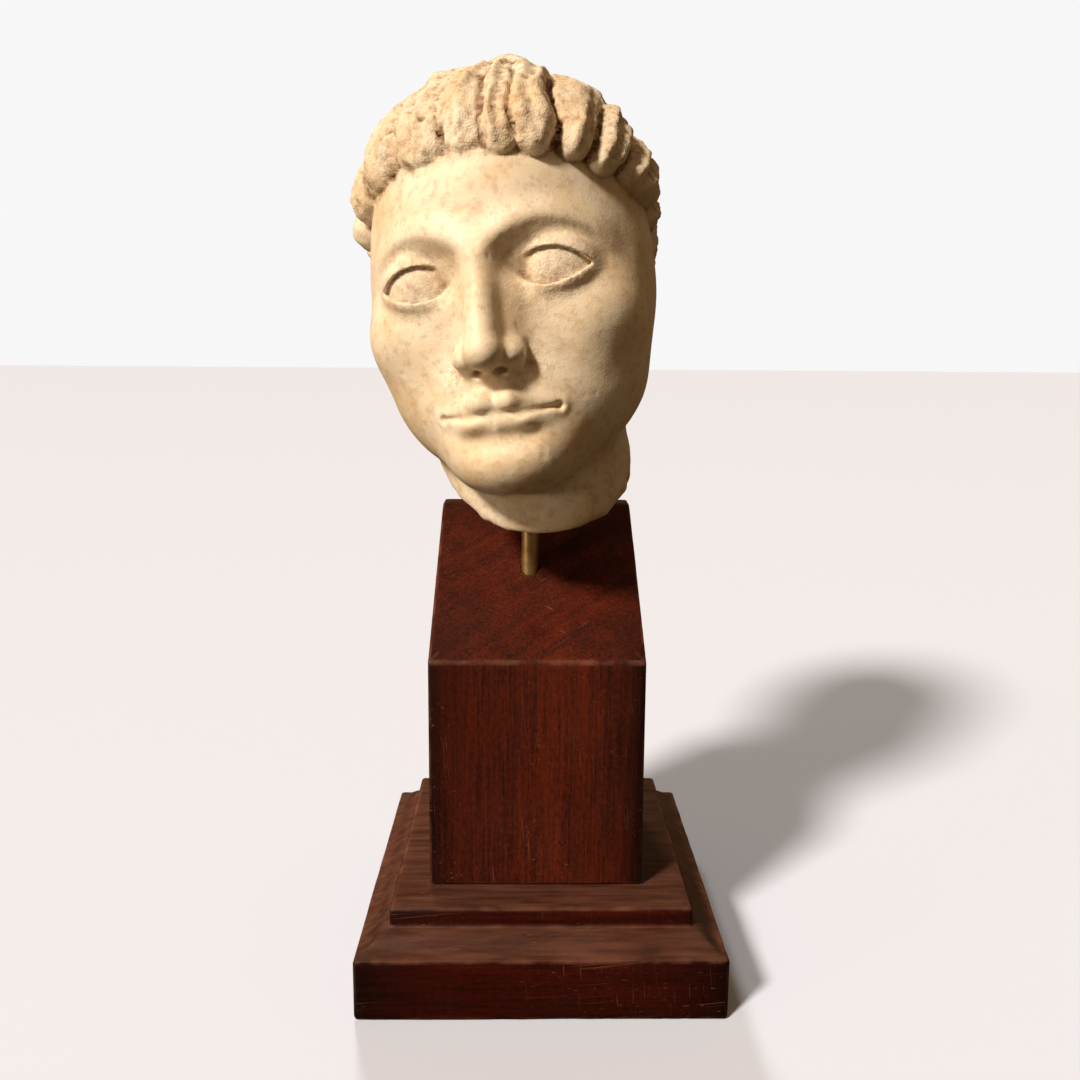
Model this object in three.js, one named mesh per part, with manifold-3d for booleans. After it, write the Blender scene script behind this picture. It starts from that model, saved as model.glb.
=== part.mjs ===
// A carved marble head, broken off at the neck and tilted to one side, held above a square
// wooden plinth by one brass rod. The plinth is a column with a sloping top on a moulded board.
// Millimetres, +Z up, the head looks along -Y, origin at the centre of the board's underside.

import * as THREE from 'three';
import { mergeVertices } from 'three/addons/utils/BufferGeometryUtils.js';
import Module from 'manifold-3d';

// Plinth board
const BOARD_SIDE = 127;
const BOARD_EDGE = 22;
const BOARD_ARRIS = 1.0;
const MOULDING_RISE = 5.4;
const MOULDING_WIDTH = 10;
const TIER_RISE = 6.8;
const TIER_ARRIS = 1.2;

// Plinth column
const COLUMN_SIDE = 76.2;
const COLUMN_SHIFT = -1.8;
const COLUMN_FRONT_HEIGHT = 83;
const COLUMN_BACK_HEIGHT = 129.5;
const SLOPE_RUN = 64.6;
const COLUMN_ARRIS = 0.8;

// Brass rod and its two blind sockets
const ROD_DIAMETER = 6.35;
const ROD_X = -4.4;
const ROD_Y = -2.0;
const ROD_EXPOSED = 36.1;
const SOCKET_IN_COLUMN = 35;
const SOCKET_IN_HEAD = 30;
const FIT_GAP = 0.3;
const ROUND_SIDES = 32;

// Head: height from chin to the top of the hair, and how it is held
const HEAD_HEIGHT = 149;
const HEAD_ROLL = -8;
const HEAD_YAW = -12;
const HEAD_SIDE_OFFSET = -0.038;
const HEAD_BACK_OFFSET = -0.007;

// The carving is laid out on a head 156.5 units from chin to hair, eyes at zero height
const CARVED_HEIGHT = 156.5;
const UNIT = HEAD_HEIGHT / CARVED_HEIGHT;

// Columns of the head's faceted surface, by angle from the middle of the face
const COLUMN_ZONES = [
  { to: 36, step: 3.27 },
  { to: 90, step: 4.5 },
  { to: 180, step: 7.5 },
];

const DEGREE = Math.PI / 180;

// Smooth steps and blends between forms

function clamp(value, low, high) {
  return Math.min(Math.max(value, low), high);
}

function easeBetween(from, to, value) {
  const t = clamp((value - from) / (to - from), 0, 1);
  return t * t * (3 - 2 * t);
}

function join(a, b, softness) {
  const h = clamp(0.5 + (0.5 * (b - a)) / softness, 0, 1);
  return b + (a - b) * h - softness * h * (1 - h);
}

function keepInside(a, b, softness) {
  return -join(-a, -b, softness);
}

// Distance from a point to a ball stretched to three radii
function ballDistance(x, y, z, centre, radii) {
  const qx = x - centre[0];
  const qy = y - centre[1];
  const qz = z - centre[2];
  const near = Math.hypot(qx / radii[0], qy / radii[1], qz / radii[2]);
  const slope = Math.hypot(qx / radii[0] ** 2, qy / radii[1] ** 2, qz / radii[2] ** 2);
  return (near * (near - 1)) / Math.max(slope, 1e-9);
}

// Distance from a point to a round bar that tapers from one end to the other
function barDistance(x, y, z, from, to, radii) {
  const dx = to[0] - from[0];
  const dy = to[1] - from[1];
  const dz = to[2] - from[2];
  const qx = x - from[0];
  const qy = y - from[1];
  const qz = z - from[2];
  const h = clamp((qx * dx + qy * dy + qz * dz) / (dx * dx + dy * dy + dz * dz), 0, 1);
  return Math.hypot(qx - h * dx, qy - h * dy, qz - h * dz) - (radii[0] + (radii[1] - radii[0]) * h);
}

// Strokes of the carver: a ball or a bar, added or cut, with the softness of the blend.
// Every stroke is on both sides of the face, or on its middle line.

const SKULL = { ball: [0, 6, 20], radii: [51, 62, 55] };

const MASSES = [
  { name: 'face', ball: [0, -7, -10], radii: [52.5, 46, 50], soft: 16 },
  { name: 'muzzle', ball: [0, -35, -44], radii: [25, 23, 20], soft: 16 },
  { name: 'jowl', ball: [24, -20, -36], radii: [21, 24, 24], soft: 14 },
  { name: 'chin', ball: [0, -41, -59], radii: [18, 16, 12.5], soft: 11 },
  { name: 'jaw', bar: [[27, -2, -42], [10, -36, -58]], radii: [13.5, 12.5], soft: 14 },
  { name: 'cheekbone', ball: [30, -31, -16], radii: [17, 17, 14], soft: 13 },
];

const FEATURES = [
  { name: 'nose body', bar: [[0, -45, 8], [0, -53.5, -25]], radii: [6.6, 10.4], soft: 7 },
  { name: 'nose bridge', bar: [[0, -51.5, 15], [0, -65.2, -23.5]], radii: [4.4, 5.4], soft: 4.5 },
  { name: 'nose wing', ball: [8, -57, -26.2], radii: [4.5, 6.4, 4.6], soft: 3 },
  { name: 'nose tip', ball: [0, -65, -25], radii: [5.8, 5.6, 5.2], soft: 3.5 },
  { name: 'crease', cut: true, bar: [[13.6, -54, -24], [12.8, -54.5, -30.5]], radii: [0.5, 0.9], soft: 3 },
  { name: 'upper lip', bar: [[0, -58.2, -41.6], [4.6, -58.6, -41]], radii: [3, 3.2], soft: 3 },
  { name: 'upper lip end', bar: [[4.6, -58.6, -41], [20, -49, -44.8]], radii: [3.2, 1.2], soft: 3.4 },
  { name: 'lower lip', bar: [[0, -57.2, -49.2], [8, -56, -48.9]], radii: [4, 3.8], soft: 3.4 },
  { name: 'lower lip end', bar: [[8, -56, -48.9], [18.5, -49.2, -46.6]], radii: [3.8, 1.4], soft: 3.8 },
  { name: 'parting', cut: true, bar: [[0, -62.4, -45.1], [9, -60, -45.6]], radii: [1, 1], soft: 1.2 },
  { name: 'part end', cut: true, bar: [[9, -60, -45.6], [20.4, -51.2, -45.3]], radii: [1, 0.7], soft: 1.2 },
  { name: 'mouth corner', cut: true, ball: [20.4, -51.4, -45.4], radii: [1.5, 1.6, 1.2], soft: 3 },
  { name: 'lip groove', cut: true, bar: [[0, -62.2, -34], [0, -62.4, -38.4]], radii: [0.8, 1.3], soft: 3 },
  { name: 'under lip', cut: true, bar: [[0, -61.8, -55.8], [9, -60, -55.2]], radii: [2.6, 2.4], soft: 8 },
  { name: 'chin ball', ball: [0, -46.5, -62.5], radii: [14, 11.5, 9.5], soft: 9 },
];

function carve(distance, stroke, side, y, z) {
  const own = stroke.ball
    ? ballDistance(side, y, z, stroke.ball, stroke.radii)
    : barDistance(side, y, z, stroke.bar[0], stroke.bar[1], stroke.radii);
  return stroke.cut ? keepInside(distance, -own, stroke.soft) : join(distance, own, stroke.soft);
}

// Brow: an arched swelling over each eye, sharper below than above
const BROW_ARC = { side: 22, height: -9, radius: 25.5, swell: 2.2, above: 5.5, below: 3.4 };

function brow(side, y, z) {
  const off = Math.hypot(side - BROW_ARC.side, z - BROW_ARC.height) - BROW_ARC.radius;
  const width = off > 0 ? BROW_ARC.above : BROW_ARC.below;
  const place = easeBetween(-15, -35, y) * easeBetween(-4, 6, z) * easeBetween(48, 38, side);
  return BROW_ARC.swell * Math.exp(-((off / width) ** 2)) * place;
}

// Eye: a ball in its socket, with lids that leave an almond between two arcs
const SOCKET = { ball: [22, -61, 1.5], radii: [17.5, 14.5, 10], soft: 4, cut: true };
const EYE = { centre: [23, -38.6, -0.5], radius: 14, halfWidth: 14, upper: 6.8, lower: 4.8 };
const LID = { thickness: 1.4, rim: 2.1, reach: -30 };

function arcRadius(halfWidth, rise) {
  return (halfWidth ** 2 + rise ** 2) / (2 * rise);
}

function addEye(distance, side, y, z) {
  const shell = Math.hypot(side - EYE.centre[0], y - EYE.centre[1], z - EYE.centre[2]);
  const across = side - EYE.centre[0] + 0.6;
  const up = z - EYE.centre[2];
  const upperRadius = arcRadius(EYE.halfWidth, EYE.upper);
  const lowerRadius = arcRadius(EYE.halfWidth, EYE.lower);
  const almond = keepInside(
    Math.hypot(across, up - (EYE.upper - upperRadius)) - upperRadius,
    Math.hypot(across, up - (lowerRadius - EYE.lower)) - lowerRadius,
    1
  );
  const rimWidth = 2 + 0.5 * Math.tanh(up / 2);
  const rim = keepInside(shell - (EYE.radius + LID.rim), Math.abs(almond - rimWidth) - rimWidth, 1);
  let lids = join(shell - (EYE.radius + LID.thickness), rim, 1);
  lids = keepInside(lids, -almond, 0.7);
  lids = keepInside(lids, y - LID.reach, 1);
  const withLids = join(distance, lids, 2.2);
  return join(withLids, shell - EYE.radius, 0.5);
}

// Neck: upright under the leaning head
const NECK = { side: -3, back: 4, radii: [37.5, 38], top: -20, soft: 5, napeSoft: 14 };
const NECK_LEVEL = -60;

function addNeck(distance, x, y, z) {
  const upright = x + Math.tan(-HEAD_ROLL * DEGREE) * (z - NECK_LEVEL) - NECK.side;
  const own = ballDistance(upright, y, 0, [0, NECK.back, 0], [NECK.radii[0], NECK.radii[1], 1e3]);
  const soft = NECK.soft + NECK.napeSoft * easeBetween(-5, 35, y);
  return join(distance, keepInside(own, z - NECK.top, 10), soft);
}

// Ears: only worn remains, the viewer's left one standing off and the right one nearly flat
const EARS = [
  { side: -1, lift: 7.5, back: 9, height: 1 },
  { side: 1, lift: 0.8, back: 20, height: -5 },
];
const EAR_RADII = [11, 17];
const EAR_RIM = 0.9;
const EAR_BOWL = 1.6;
const EAR_TILT = 12 * DEGREE;

function addEar(distance, ear, x, y, z) {
  const along = (y - ear.back) * Math.cos(EAR_TILT) - (z - ear.height) * Math.sin(EAR_TILT);
  const up = (y - ear.back) * Math.sin(EAR_TILT) + (z - ear.height) * Math.cos(EAR_TILT);
  const ring = Math.hypot(along / EAR_RADII[0], up / EAR_RADII[1]);
  const shell = ballDistance(ear.side * x, y, z, [0, 2, 0], [50.5 + ear.lift, 60, 60]);
  const rim = EAR_RIM * Math.exp(-(((ring - 0.78) / 0.14) ** 2));
  const bowl = EAR_BOWL * Math.exp(-((Math.hypot(along + 1, up) / 7) ** 2));
  const disc = keepInside(shell, (ring - 1) * 12, 4) - rim + bowl;
  return join(distance, keepInside(disc, HAIR_RADII[0] / 2 - ear.side * x, 1), 2.5);
}

// Hair: thick locks combed forward from a crown point and ending in a row over the forehead.
// Each lock has its width around the crown, its height, how far its end hangs below the
// hairline and how gradually the end rises. The groove is how much height is left beside it.
const CROWN = [0, 0.42, 0.9075];
const TO_FACE = [0, -0.9075, 0.42];
const HAIR_CENTRE = [0, 6, 20];
const HAIR_RADII = [51.3, 62.3, 55.3];
const HAIR_FOOT = -46;
const HAIR_THIN = 0.6;
const FIRST_EDGE = -122;
const FRONT_LOCKS = [
  { width: 20, height: 6, hang: 0, rise: 7, groove: 0.35 },
  { width: 18, height: 7.5, hang: 1, rise: 7, groove: 0.35 },
  { width: 17, height: 8.5, hang: 4, rise: 7, groove: 0.3 },
  { width: 20, height: 8.2, hang: 1, rise: 9, groove: 0.15 },
  { width: 24, height: 7.8, hang: -2, rise: 20, groove: 0.5 },
  { width: 17, height: 6.8, hang: -1, rise: 22, groove: 0.6 },
  { width: 12.5, height: 6.6, hang: -2, rise: 26, groove: 0.75 },
  { width: 9.5, height: 7.6, hang: 0.5, rise: 13, groove: 0.4 },
  { width: 12, height: 9.2, hang: 1, rise: 12, groove: 0.62 },
  { width: 13.5, height: 8.4, hang: 1, rise: 9, groove: 0 },
  { width: 13.5, height: 8.2, hang: 3, rise: 8, groove: 0.35 },
  { width: 29, height: 8.2, hang: 4, rise: 7, groove: -0.05 },
  { width: 18, height: 5.5, hang: 0, rise: 7, groove: 0.35 },
  { width: 20, height: 4.5, hang: 0, rise: 7, groove: 0.35 },
];
const LAST_GROOVE = 0.35;
const FRONT_LOCK_LENGTH = 72;
const STRAND_HEIGHT = 0.8;

// The comb: how far the locks on each side sweep round, above a level by the hairline
const COMB = { right: 27, left: 6, level: 92, run: 40, wave: 1.5, ripple: 0.8 };

// Rows of shorter locks behind, each row laid over the next: angles from the crown, and count
const BACK_ROWS = [
  { from: 4, to: 58, count: 9 },
  { from: 42, to: 104, count: 15 },
  { from: 80, to: 142, count: 17 },
];
const BACK_LOCK_HEIGHT = 4.6;
const BACK_SWAY = 8;
const BACK_STRAND = 0.6;

// A place on top, to the viewer's right, where the locks are worn down
const WORN_HOLLOW = { around: 41, down: 48, depth: 4.2, size: 13 };

const lockEdges = [FIRST_EDGE];
FRONT_LOCKS.forEach((lock) => lockEdges.push(lockEdges[lockEdges.length - 1] + lock.width));

// How far from the crown the hair ends, by angle around the crown
function hairline(around) {
  const a = Math.abs(around);
  const temple = -1.5 * easeBetween(10, 40, a) - 3.5 * easeBetween(40, 78, a);
  return 98 + temple + 7 * easeBetween(84, 104, a) + 32 * easeBetween(106, 128, a);
}

function roundedStep(distanceIn, length) {
  if (distanceIn <= 0) {
    return 0;
  }
  const left = 1 - clamp(distanceIn / length, 0, 1);
  return Math.sqrt(1 - left * left);
}

// Where a lock passes the hairline: those on the right sweep round to the crown
function comb(around, down) {
  const sweep = COMB.right * easeBetween(10, 80, around) - COMB.left * easeBetween(0, -15, around);
  const ripple = COMB.ripple * Math.sin(down / 5 + around * 0.21);
  const wave = COMB.wave * Math.sin(down / 11 + around * 0.05) + ripple;
  return around - (sweep * (COMB.level - down)) / COMB.run + wave * easeBetween(100, 85, down);
}

function frontLocks(around, down) {
  const combed = comb(around, down);
  const count = FRONT_LOCKS.length;
  if (combed <= lockEdges[0] || combed >= lockEdges[count]) {
    return 0;
  }
  let index = 0;
  while (combed >= lockEdges[index + 1]) {
    index += 1;
  }
  const lock = FRONT_LOCKS[index];
  const across = (2 * (combed - lockEdges[index])) / lock.width - 1;
  const middle = lockEdges[index] + lock.width / 2;
  const nextGroove = index + 1 < count ? FRONT_LOCKS[index + 1].groove : LAST_GROOVE;
  const groove = lock.groove + ((nextGroove - lock.groove) * (across + 1)) / 2;
  const dome = Math.sqrt(1 - Math.abs(across) ** (2.2 + lock.width * 0.04));
  const section = groove + (1 - groove) * dome;
  const end = hairline(middle) * 0.6 + hairline(combed) * 0.4 + lock.hang;
  const inside = end - down - 4.5 * across * across * (1 - groove * 0.6);
  const back = 1 - easeBetween(FRONT_LOCK_LENGTH - 22, FRONT_LOCK_LENGTH, inside);
  const lower = 0.7 + 0.3 * easeBetween(50, 82, down);
  const strands = Math.cos(across * Math.PI * (0.9 + lock.width * 0.07) + index * 2.1 + (down - 80) * 0.035);
  const strand = STRAND_HEIGHT * strands * (1 - across * across);
  return (lock.height * lower * section + strand) * roundedStep(inside, lock.rise) * back;
}

function backLocks(around, down) {
  let height = 0;
  BACK_ROWS.forEach((row, number) => {
    const along = (down - row.from) / (row.to - row.from);
    const sway = number % 2 ? -BACK_SWAY : BACK_SWAY;
    const bend = (sway * Math.sin(along * 4.4 + around * 0.02) * 60) / (down + 30);
    const place = ((around + bend + 3 * Math.sin(around * 0.07 + number)) / 360) * row.count + 0.37 * number;
    const turn = Math.floor(place);
    const across = 2 * (place - turn) - 1;
    const uneven = Math.sin(turn * 12.9898 + number * 4.1);
    const reach = along + (7 * uneven) / (row.to - row.from);
    if (reach <= 0) {
      return;
    }
    const dome = 1 - across * across;
    const tip = easeBetween(0, 0.16, 1 - 0.3 * Math.abs(across) ** 1.6 - reach);
    const strands = Math.cos(across * Math.PI * 1.7 + uneven * 2 + along * 2);
    const full = BACK_LOCK_HEIGHT + 0.8 * uneven + BACK_STRAND * strands * (1 - across * across);
    height = Math.max(height, dome * tip * easeBetween(0, 0.3, reach) * full);
  });
  return height;
}

function addHair(distance, x, y, z) {
  const q = [x - HAIR_CENTRE[0], y - HAIR_CENTRE[1], z - HAIR_CENTRE[2]];
  const size = Math.max(Math.hypot(q[0], q[1], q[2]), 1e-6);
  const toCrown = (q[1] * CROWN[1] + q[2] * CROWN[2]) / size;
  const toFace = (q[1] * TO_FACE[1] + q[2] * TO_FACE[2]) / size;
  const down = Math.acos(clamp(toCrown, -1, 1)) / DEGREE;
  const around = Math.atan2(q[0] / size, toFace) / DEGREE;
  const line = hairline(around);
  const edge = roundedStep(line - down, 6);
  const sideways = 30 * easeBetween(84, 110, Math.abs(around));
  const backRelief = (2 + backLocks(around, down)) * edge * easeBetween(14, 44, line - down + sideways);
  const off = Math.hypot(around - WORN_HOLLOW.around, down - WORN_HOLLOW.down) / WORN_HOLLOW.size;
  const worn = WORN_HOLLOW.depth * Math.exp(-off * off);
  const relief = Math.max(frontLocks(around, down), backRelief, HAIR_THIN * edge) - worn;
  const mass = ballDistance(x, y, z, HAIR_CENTRE, HAIR_RADII) - relief;
  return join(distance, keepInside(mass, HAIR_FOOT - z, 3), 0.8);
}

// Break under the neck: lowest in front, rising to the back and to the viewer's left
const BREAK = { low: -95, front: -33, riseBack: 0.62, riseLeft: 0.14, bowl: 0.004, soft: 6 };

function cutBreak(distance, x, y, z) {
  const tilt = BREAK.riseBack * (y - BREAK.front) - BREAK.riseLeft * x + BREAK.bowl * (x - 6) ** 2;
  const uneven = 1.2 * Math.sin(x * 0.11 + 1) + 0.8 * Math.sin(y * 0.16);
  const below = (BREAK.low - z + tilt + uneven) / Math.hypot(1, BREAK.riseBack);
  return keepInside(distance, below, BREAK.soft);
}

// The whole head: below zero inside the stone
function headDistance(x, y, z) {
  const side = Math.abs(x);
  let d = ballDistance(x, y, z, SKULL.ball, SKULL.radii);
  MASSES.forEach((stroke) => {
    d = carve(d, stroke, side, y, z);
  });
  d -= brow(side, y, z);
  d = carve(d, SOCKET, side, y, z);
  d = addEye(d, side, y, z);
  FEATURES.forEach((stroke) => {
    d = carve(d, stroke, side, y, z);
  });
  d = addNeck(d, x, y, z);
  EARS.forEach((ear) => {
    d = addEar(d, ear, x, y, z);
  });
  d = addHair(d, x, y, z);
  return cutBreak(d, x, y, z);
}

// The surface is read along rays that fan out from a bent axis inside the head: level by the
// hair's centre above, and square to the break below. A row is where its rays start on the
// axis, how far the row leans forward, and its angle above the level.
const AXIS_TOP = [0, 6, 20];
const AXIS_LOW = [0, -16, -68];
const AXIS_LEAN = 30;
const RAY_LENGTH = 125;
const SMALLEST_STEP = 0.6;
const HALVINGS = 9;
const RAY_SPREAD = 0.3;

const ROW_STOPS = [
  { rows: 0, along: 0, rise: 90 },
  { rows: 15, along: 0, rise: 32 },
  { rows: 3, along: 0.02, rise: 20 },
  { rows: 12, along: 0.3, rise: 4 },
  { rows: 20, along: 0.86, rise: -8 },
  { rows: 5, along: 1, rise: -24 },
  { rows: 4, along: 1, rise: -52 },
  { rows: 3, along: 1, rise: -90 },
];

function rowList() {
  const rows = [];
  for (let stop = 1; stop < ROW_STOPS.length; stop += 1) {
    const before = ROW_STOPS[stop - 1];
    const after = ROW_STOPS[stop];
    for (let i = 0; i < after.rows; i += 1) {
      const t = i / after.rows;
      rows.push({
        along: before.along + (after.along - before.along) * t,
        rise: before.rise + (after.rise - before.rise) * t,
      });
    }
  }
  rows.push({ along: 1, rise: -90 });
  return rows;
}

function columnAngles() {
  const oneSide = [0];
  let reached = 0;
  COLUMN_ZONES.forEach((zone) => {
    const count = Math.round((zone.to - reached) / zone.step);
    for (let i = 1; i <= count; i += 1) {
      oneSide.push(reached + ((zone.to - reached) * i) / count);
    }
    reached = zone.to;
  });
  const otherSide = oneSide.slice(1, -1).map((angle) => -angle);
  return otherSide.reverse().concat(oneSide);
}

function rayOf(row, angle) {
  const lean = AXIS_LEAN * DEGREE * easeBetween(0.3, 1, row.along);
  const start = AXIS_TOP.map((value, i) => value + (AXIS_LOW[i] - value) * row.along);
  const level = Math.cos(row.rise * DEGREE);
  const up = Math.sin(row.rise * DEGREE);
  const flatX = Math.sin(angle * DEGREE) * level;
  const flatY = -Math.cos(angle * DEGREE) * level;
  const back = flatY * Math.cos(lean) - up * Math.sin(lean);
  const dir = [flatX, back, flatY * Math.sin(lean) + up * Math.cos(lean)];
  return { start, dir };
}

// How far along its ray the surface lies, coming in from outside
function surfaceReach(ray) {
  const { start, dir } = ray;
  const at = (r) => headDistance(start[0] + dir[0] * r, start[1] + dir[1] * r, start[2] + dir[2] * r);
  let inner = RAY_LENGTH;
  let outer = inner;
  let gap = at(inner);
  while (gap > 0 && inner > 1) {
    outer = inner;
    inner -= Math.max(SMALLEST_STEP, gap * 0.6);
    gap = at(inner);
  }
  for (let i = 0; i < HALVINGS; i += 1) {
    const middle = (outer + inner) / 2;
    if (at(middle) > 0) {
      outer = middle;
    } else {
      inner = middle;
    }
  }
  return inner;
}

// A corner of the grid takes the mean of a few rays about it, so that no fine edge is missed
function surfacePoint(row, angle, rowSpread, angleSpread) {
  const middle = rayOf(row, angle);
  let reach = 2 * surfaceReach(middle);
  [[1, 0], [-1, 0], [0, 1], [0, -1]].forEach(([up, side]) => {
    const near = {
      along: row.along + up * rowSpread.along,
      rise: row.rise + up * rowSpread.rise,
    };
    reach += surfaceReach(rayOf(near, angle + side * angleSpread));
  });
  return middle.start.map((value, i) => value + (middle.dir[i] * reach) / 6);
}

function headPoints() {
  const rows = rowList();
  const angles = columnAngles();
  const still = { along: 0, rise: 0 };
  const points = [surfacePoint(rows[0], 0, still, 0)];
  for (let r = 1; r < rows.length - 1; r += 1) {
    const spread = {
      along: (rows[r + 1].along - rows[r - 1].along) * 0.5 * RAY_SPREAD,
      rise: (rows[r + 1].rise - rows[r - 1].rise) * 0.5 * RAY_SPREAD,
    };
    angles.forEach((angle, i) => {
      const next = i + 1 < angles.length ? angles[i + 1] : angles[0] + 360;
      points.push(surfacePoint(rows[r], angle, spread, (next - angle) * RAY_SPREAD));
    });
  }
  points.push(surfacePoint(rows[rows.length - 1], 0, still, 0));
  return { points, rings: rows.length - 2, columns: angles.length };
}

function distanceBetween(a, b) {
  return Math.hypot(a[0] - b[0], a[1] - b[1], a[2] - b[2]);
}

// Triangles of a closed surface of rings between two end points, first point on top
function ringTriangles(points, rings, columns) {
  const triangles = [];
  const at = (ring, column) => 1 + ring * columns + (column % columns);
  const last = points.length - 1;
  for (let c = 0; c < columns; c += 1) {
    triangles.push(0, at(0, c), at(0, c + 1));
    triangles.push(last, at(rings - 1, c + 1), at(rings - 1, c));
  }
  for (let ring = 0; ring + 1 < rings; ring += 1) {
    for (let c = 0; c < columns; c += 1) {
      const a = at(ring, c);
      const b = at(ring + 1, c);
      const e = at(ring + 1, c + 1);
      const f = at(ring, c + 1);
      if (distanceBetween(points[a], points[e]) < distanceBetween(points[b], points[f])) {
        triangles.push(a, b, e, a, e, f);
      } else {
        triangles.push(a, b, f, b, e, f);
      }
    }
  }
  return triangles;
}

function geometryFrom(points, triangles) {
  const geometry = new THREE.BufferGeometry();
  geometry.setAttribute('position', new THREE.Float32BufferAttribute(points.flat(), 3));
  geometry.setIndex(triangles);
  return geometry;
}

// Solids for joining and cutting

const manifold = await Module();
manifold.setup();

function solidOf(geometry) {
  const bare = geometry.clone();
  bare.deleteAttribute('normal');
  bare.deleteAttribute('uv');
  const merged = mergeVertices(bare, 1e-4);
  return new manifold.Manifold(
    new manifold.Mesh({
      numProp: 3,
      vertProperties: new Float32Array(merged.attributes.position.array),
      triVerts: new Uint32Array(merged.index.array),
    })
  );
}

function geometryOf(solid) {
  const mesh = solid.getMesh();
  const geometry = new THREE.BufferGeometry();
  geometry.setAttribute('position', new THREE.Float32BufferAttribute(mesh.vertProperties, 3));
  geometry.setIndex(Array.from(mesh.triVerts));
  return geometry;
}

// Heights and places that follow from the sizes above

const tierFoot = BOARD_EDGE + MOULDING_RISE;
const boardTop = tierFoot + TIER_RISE;
const columnFoot = boardTop + FIT_GAP;
const creaseHeight = columnFoot + COLUMN_FRONT_HEIGHT;
const columnTop = columnFoot + COLUMN_BACK_HEIGHT;
const columnHalf = COLUMN_SIDE / 2;
const slopeAtRod = creaseHeight + ((columnTop - creaseHeight) * (ROD_Y + columnHalf)) / SLOPE_RUN;
const rodRadius = ROD_DIAMETER / 2;
const socketRadius = rodRadius + FIT_GAP;

function turnedHead() {
  const roll = new THREE.Matrix4().makeRotationY(HEAD_ROLL * DEGREE);
  const yaw = new THREE.Matrix4().makeRotationZ(HEAD_YAW * DEGREE);
  const size = new THREE.Matrix4().makeScale(UNIT, UNIT, UNIT);
  return roll.multiply(yaw).multiply(size);
}

// Height of the break above the head's own centre where the rod goes in
const headTurn = turnedHead();
const headSide = ROD_X + HEAD_SIDE_OFFSET * HEAD_HEIGHT;
const headBack = ROD_Y + HEAD_BACK_OFFSET * HEAD_HEIGHT;

function breakAtRod() {
  const undo = headTurn.clone().invert();
  let height = -HEAD_HEIGHT;
  const point = new THREE.Vector3();
  do {
    height += 0.05;
    point.set(ROD_X - headSide, ROD_Y - headBack, height).applyMatrix4(undo);
  } while (headDistance(point.x, point.y, point.z) > 0);
  return height;
}

const breakOffset = breakAtRod();
const breakHeight = slopeAtRod + ROD_EXPOSED;
const headHeight = breakHeight - breakOffset;

// Pieces

function uprightCylinder(radius, low, high) {
  const geometry = new THREE.CylinderGeometry(radius, radius, high - low, ROUND_SIDES);
  geometry.rotateX(Math.PI / 2);
  geometry.translate(ROD_X, ROD_Y, (low + high) / 2);
  return geometry;
}

function marbleHead() {
  const { points, rings, columns } = headPoints();
  const geometry = geometryFrom(points, ringTriangles(points, rings, columns));
  geometry.applyMatrix4(headTurn);
  geometry.translate(headSide, headBack, headHeight);
  const socket = uprightCylinder(socketRadius, breakHeight - HEAD_HEIGHT, breakHeight + SOCKET_IN_HEAD);
  return geometryOf(solidOf(geometry).subtract(solidOf(socket)));
}

function mountingRod() {
  const low = slopeAtRod - SOCKET_IN_COLUMN + FIT_GAP;
  const high = breakHeight + SOCKET_IN_HEAD - FIT_GAP;
  return uprightCylinder(rodRadius, low, high);
}

function plinthColumn() {
  const side = new THREE.Shape();
  const half = columnHalf - COLUMN_ARRIS;
  side.moveTo(-half, columnFoot + COLUMN_ARRIS);
  side.lineTo(half, columnFoot + COLUMN_ARRIS);
  side.lineTo(half, columnTop - COLUMN_ARRIS);
  side.lineTo(SLOPE_RUN - columnHalf, columnTop - COLUMN_ARRIS);
  side.lineTo(-half, creaseHeight - COLUMN_ARRIS);
  const geometry = new THREE.ExtrudeGeometry(side, {
    depth: COLUMN_SIDE - 2 * COLUMN_ARRIS,
    bevelThickness: COLUMN_ARRIS,
    bevelSize: COLUMN_ARRIS,
    bevelSegments: 2,
    steps: 1,
  });
  geometry.translate(0, 0, COLUMN_ARRIS - columnHalf);
  const swap = new THREE.Matrix4();
  swap.set(0, 0, 1, COLUMN_SHIFT, 1, 0, 0, 0, 0, 1, 0, 0, 0, 0, 0, 1);
  geometry.applyMatrix4(swap);
  const socket = uprightCylinder(socketRadius, slopeAtRod - SOCKET_IN_COLUMN, columnTop + COLUMN_SIDE);
  return geometryOf(solidOf(geometry).subtract(solidOf(socket)));
}

// Half width and height of the board's edge from its underside to its top
const MOULDING_STEPS = 8;
const ARRIS_STEPS = 4;
const TIER_DRAFT = 0.01;

function boardProfile() {
  const half = BOARD_SIDE / 2;
  const tierHalf = half - BOARD_ARRIS - MOULDING_WIDTH;
  const profile = [
    [half - BOARD_ARRIS, 0],
    [half, BOARD_ARRIS],
    [half, BOARD_EDGE - BOARD_ARRIS],
  ];
  for (let i = 0; i <= MOULDING_STEPS; i += 1) {
    const t = i / MOULDING_STEPS;
    const height = BOARD_EDGE + MOULDING_RISE * easeBetween(0, 1, t);
    profile.push([half - BOARD_ARRIS - MOULDING_WIDTH * t, height]);
  }
  for (let i = 0; i <= ARRIS_STEPS; i += 1) {
    const angle = (i / ARRIS_STEPS) * (Math.PI / 2);
    profile.push([
      tierHalf - TIER_DRAFT - TIER_ARRIS * (1 - Math.cos(angle)),
      boardTop - TIER_ARRIS * (1 - Math.sin(angle)),
    ]);
  }
  return profile;
}

// A square board whose edge follows the profile, with a little roundness at its four corners
const BOARD_CORNER = 1.2;
const CORNER_STEPS = 3;

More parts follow.
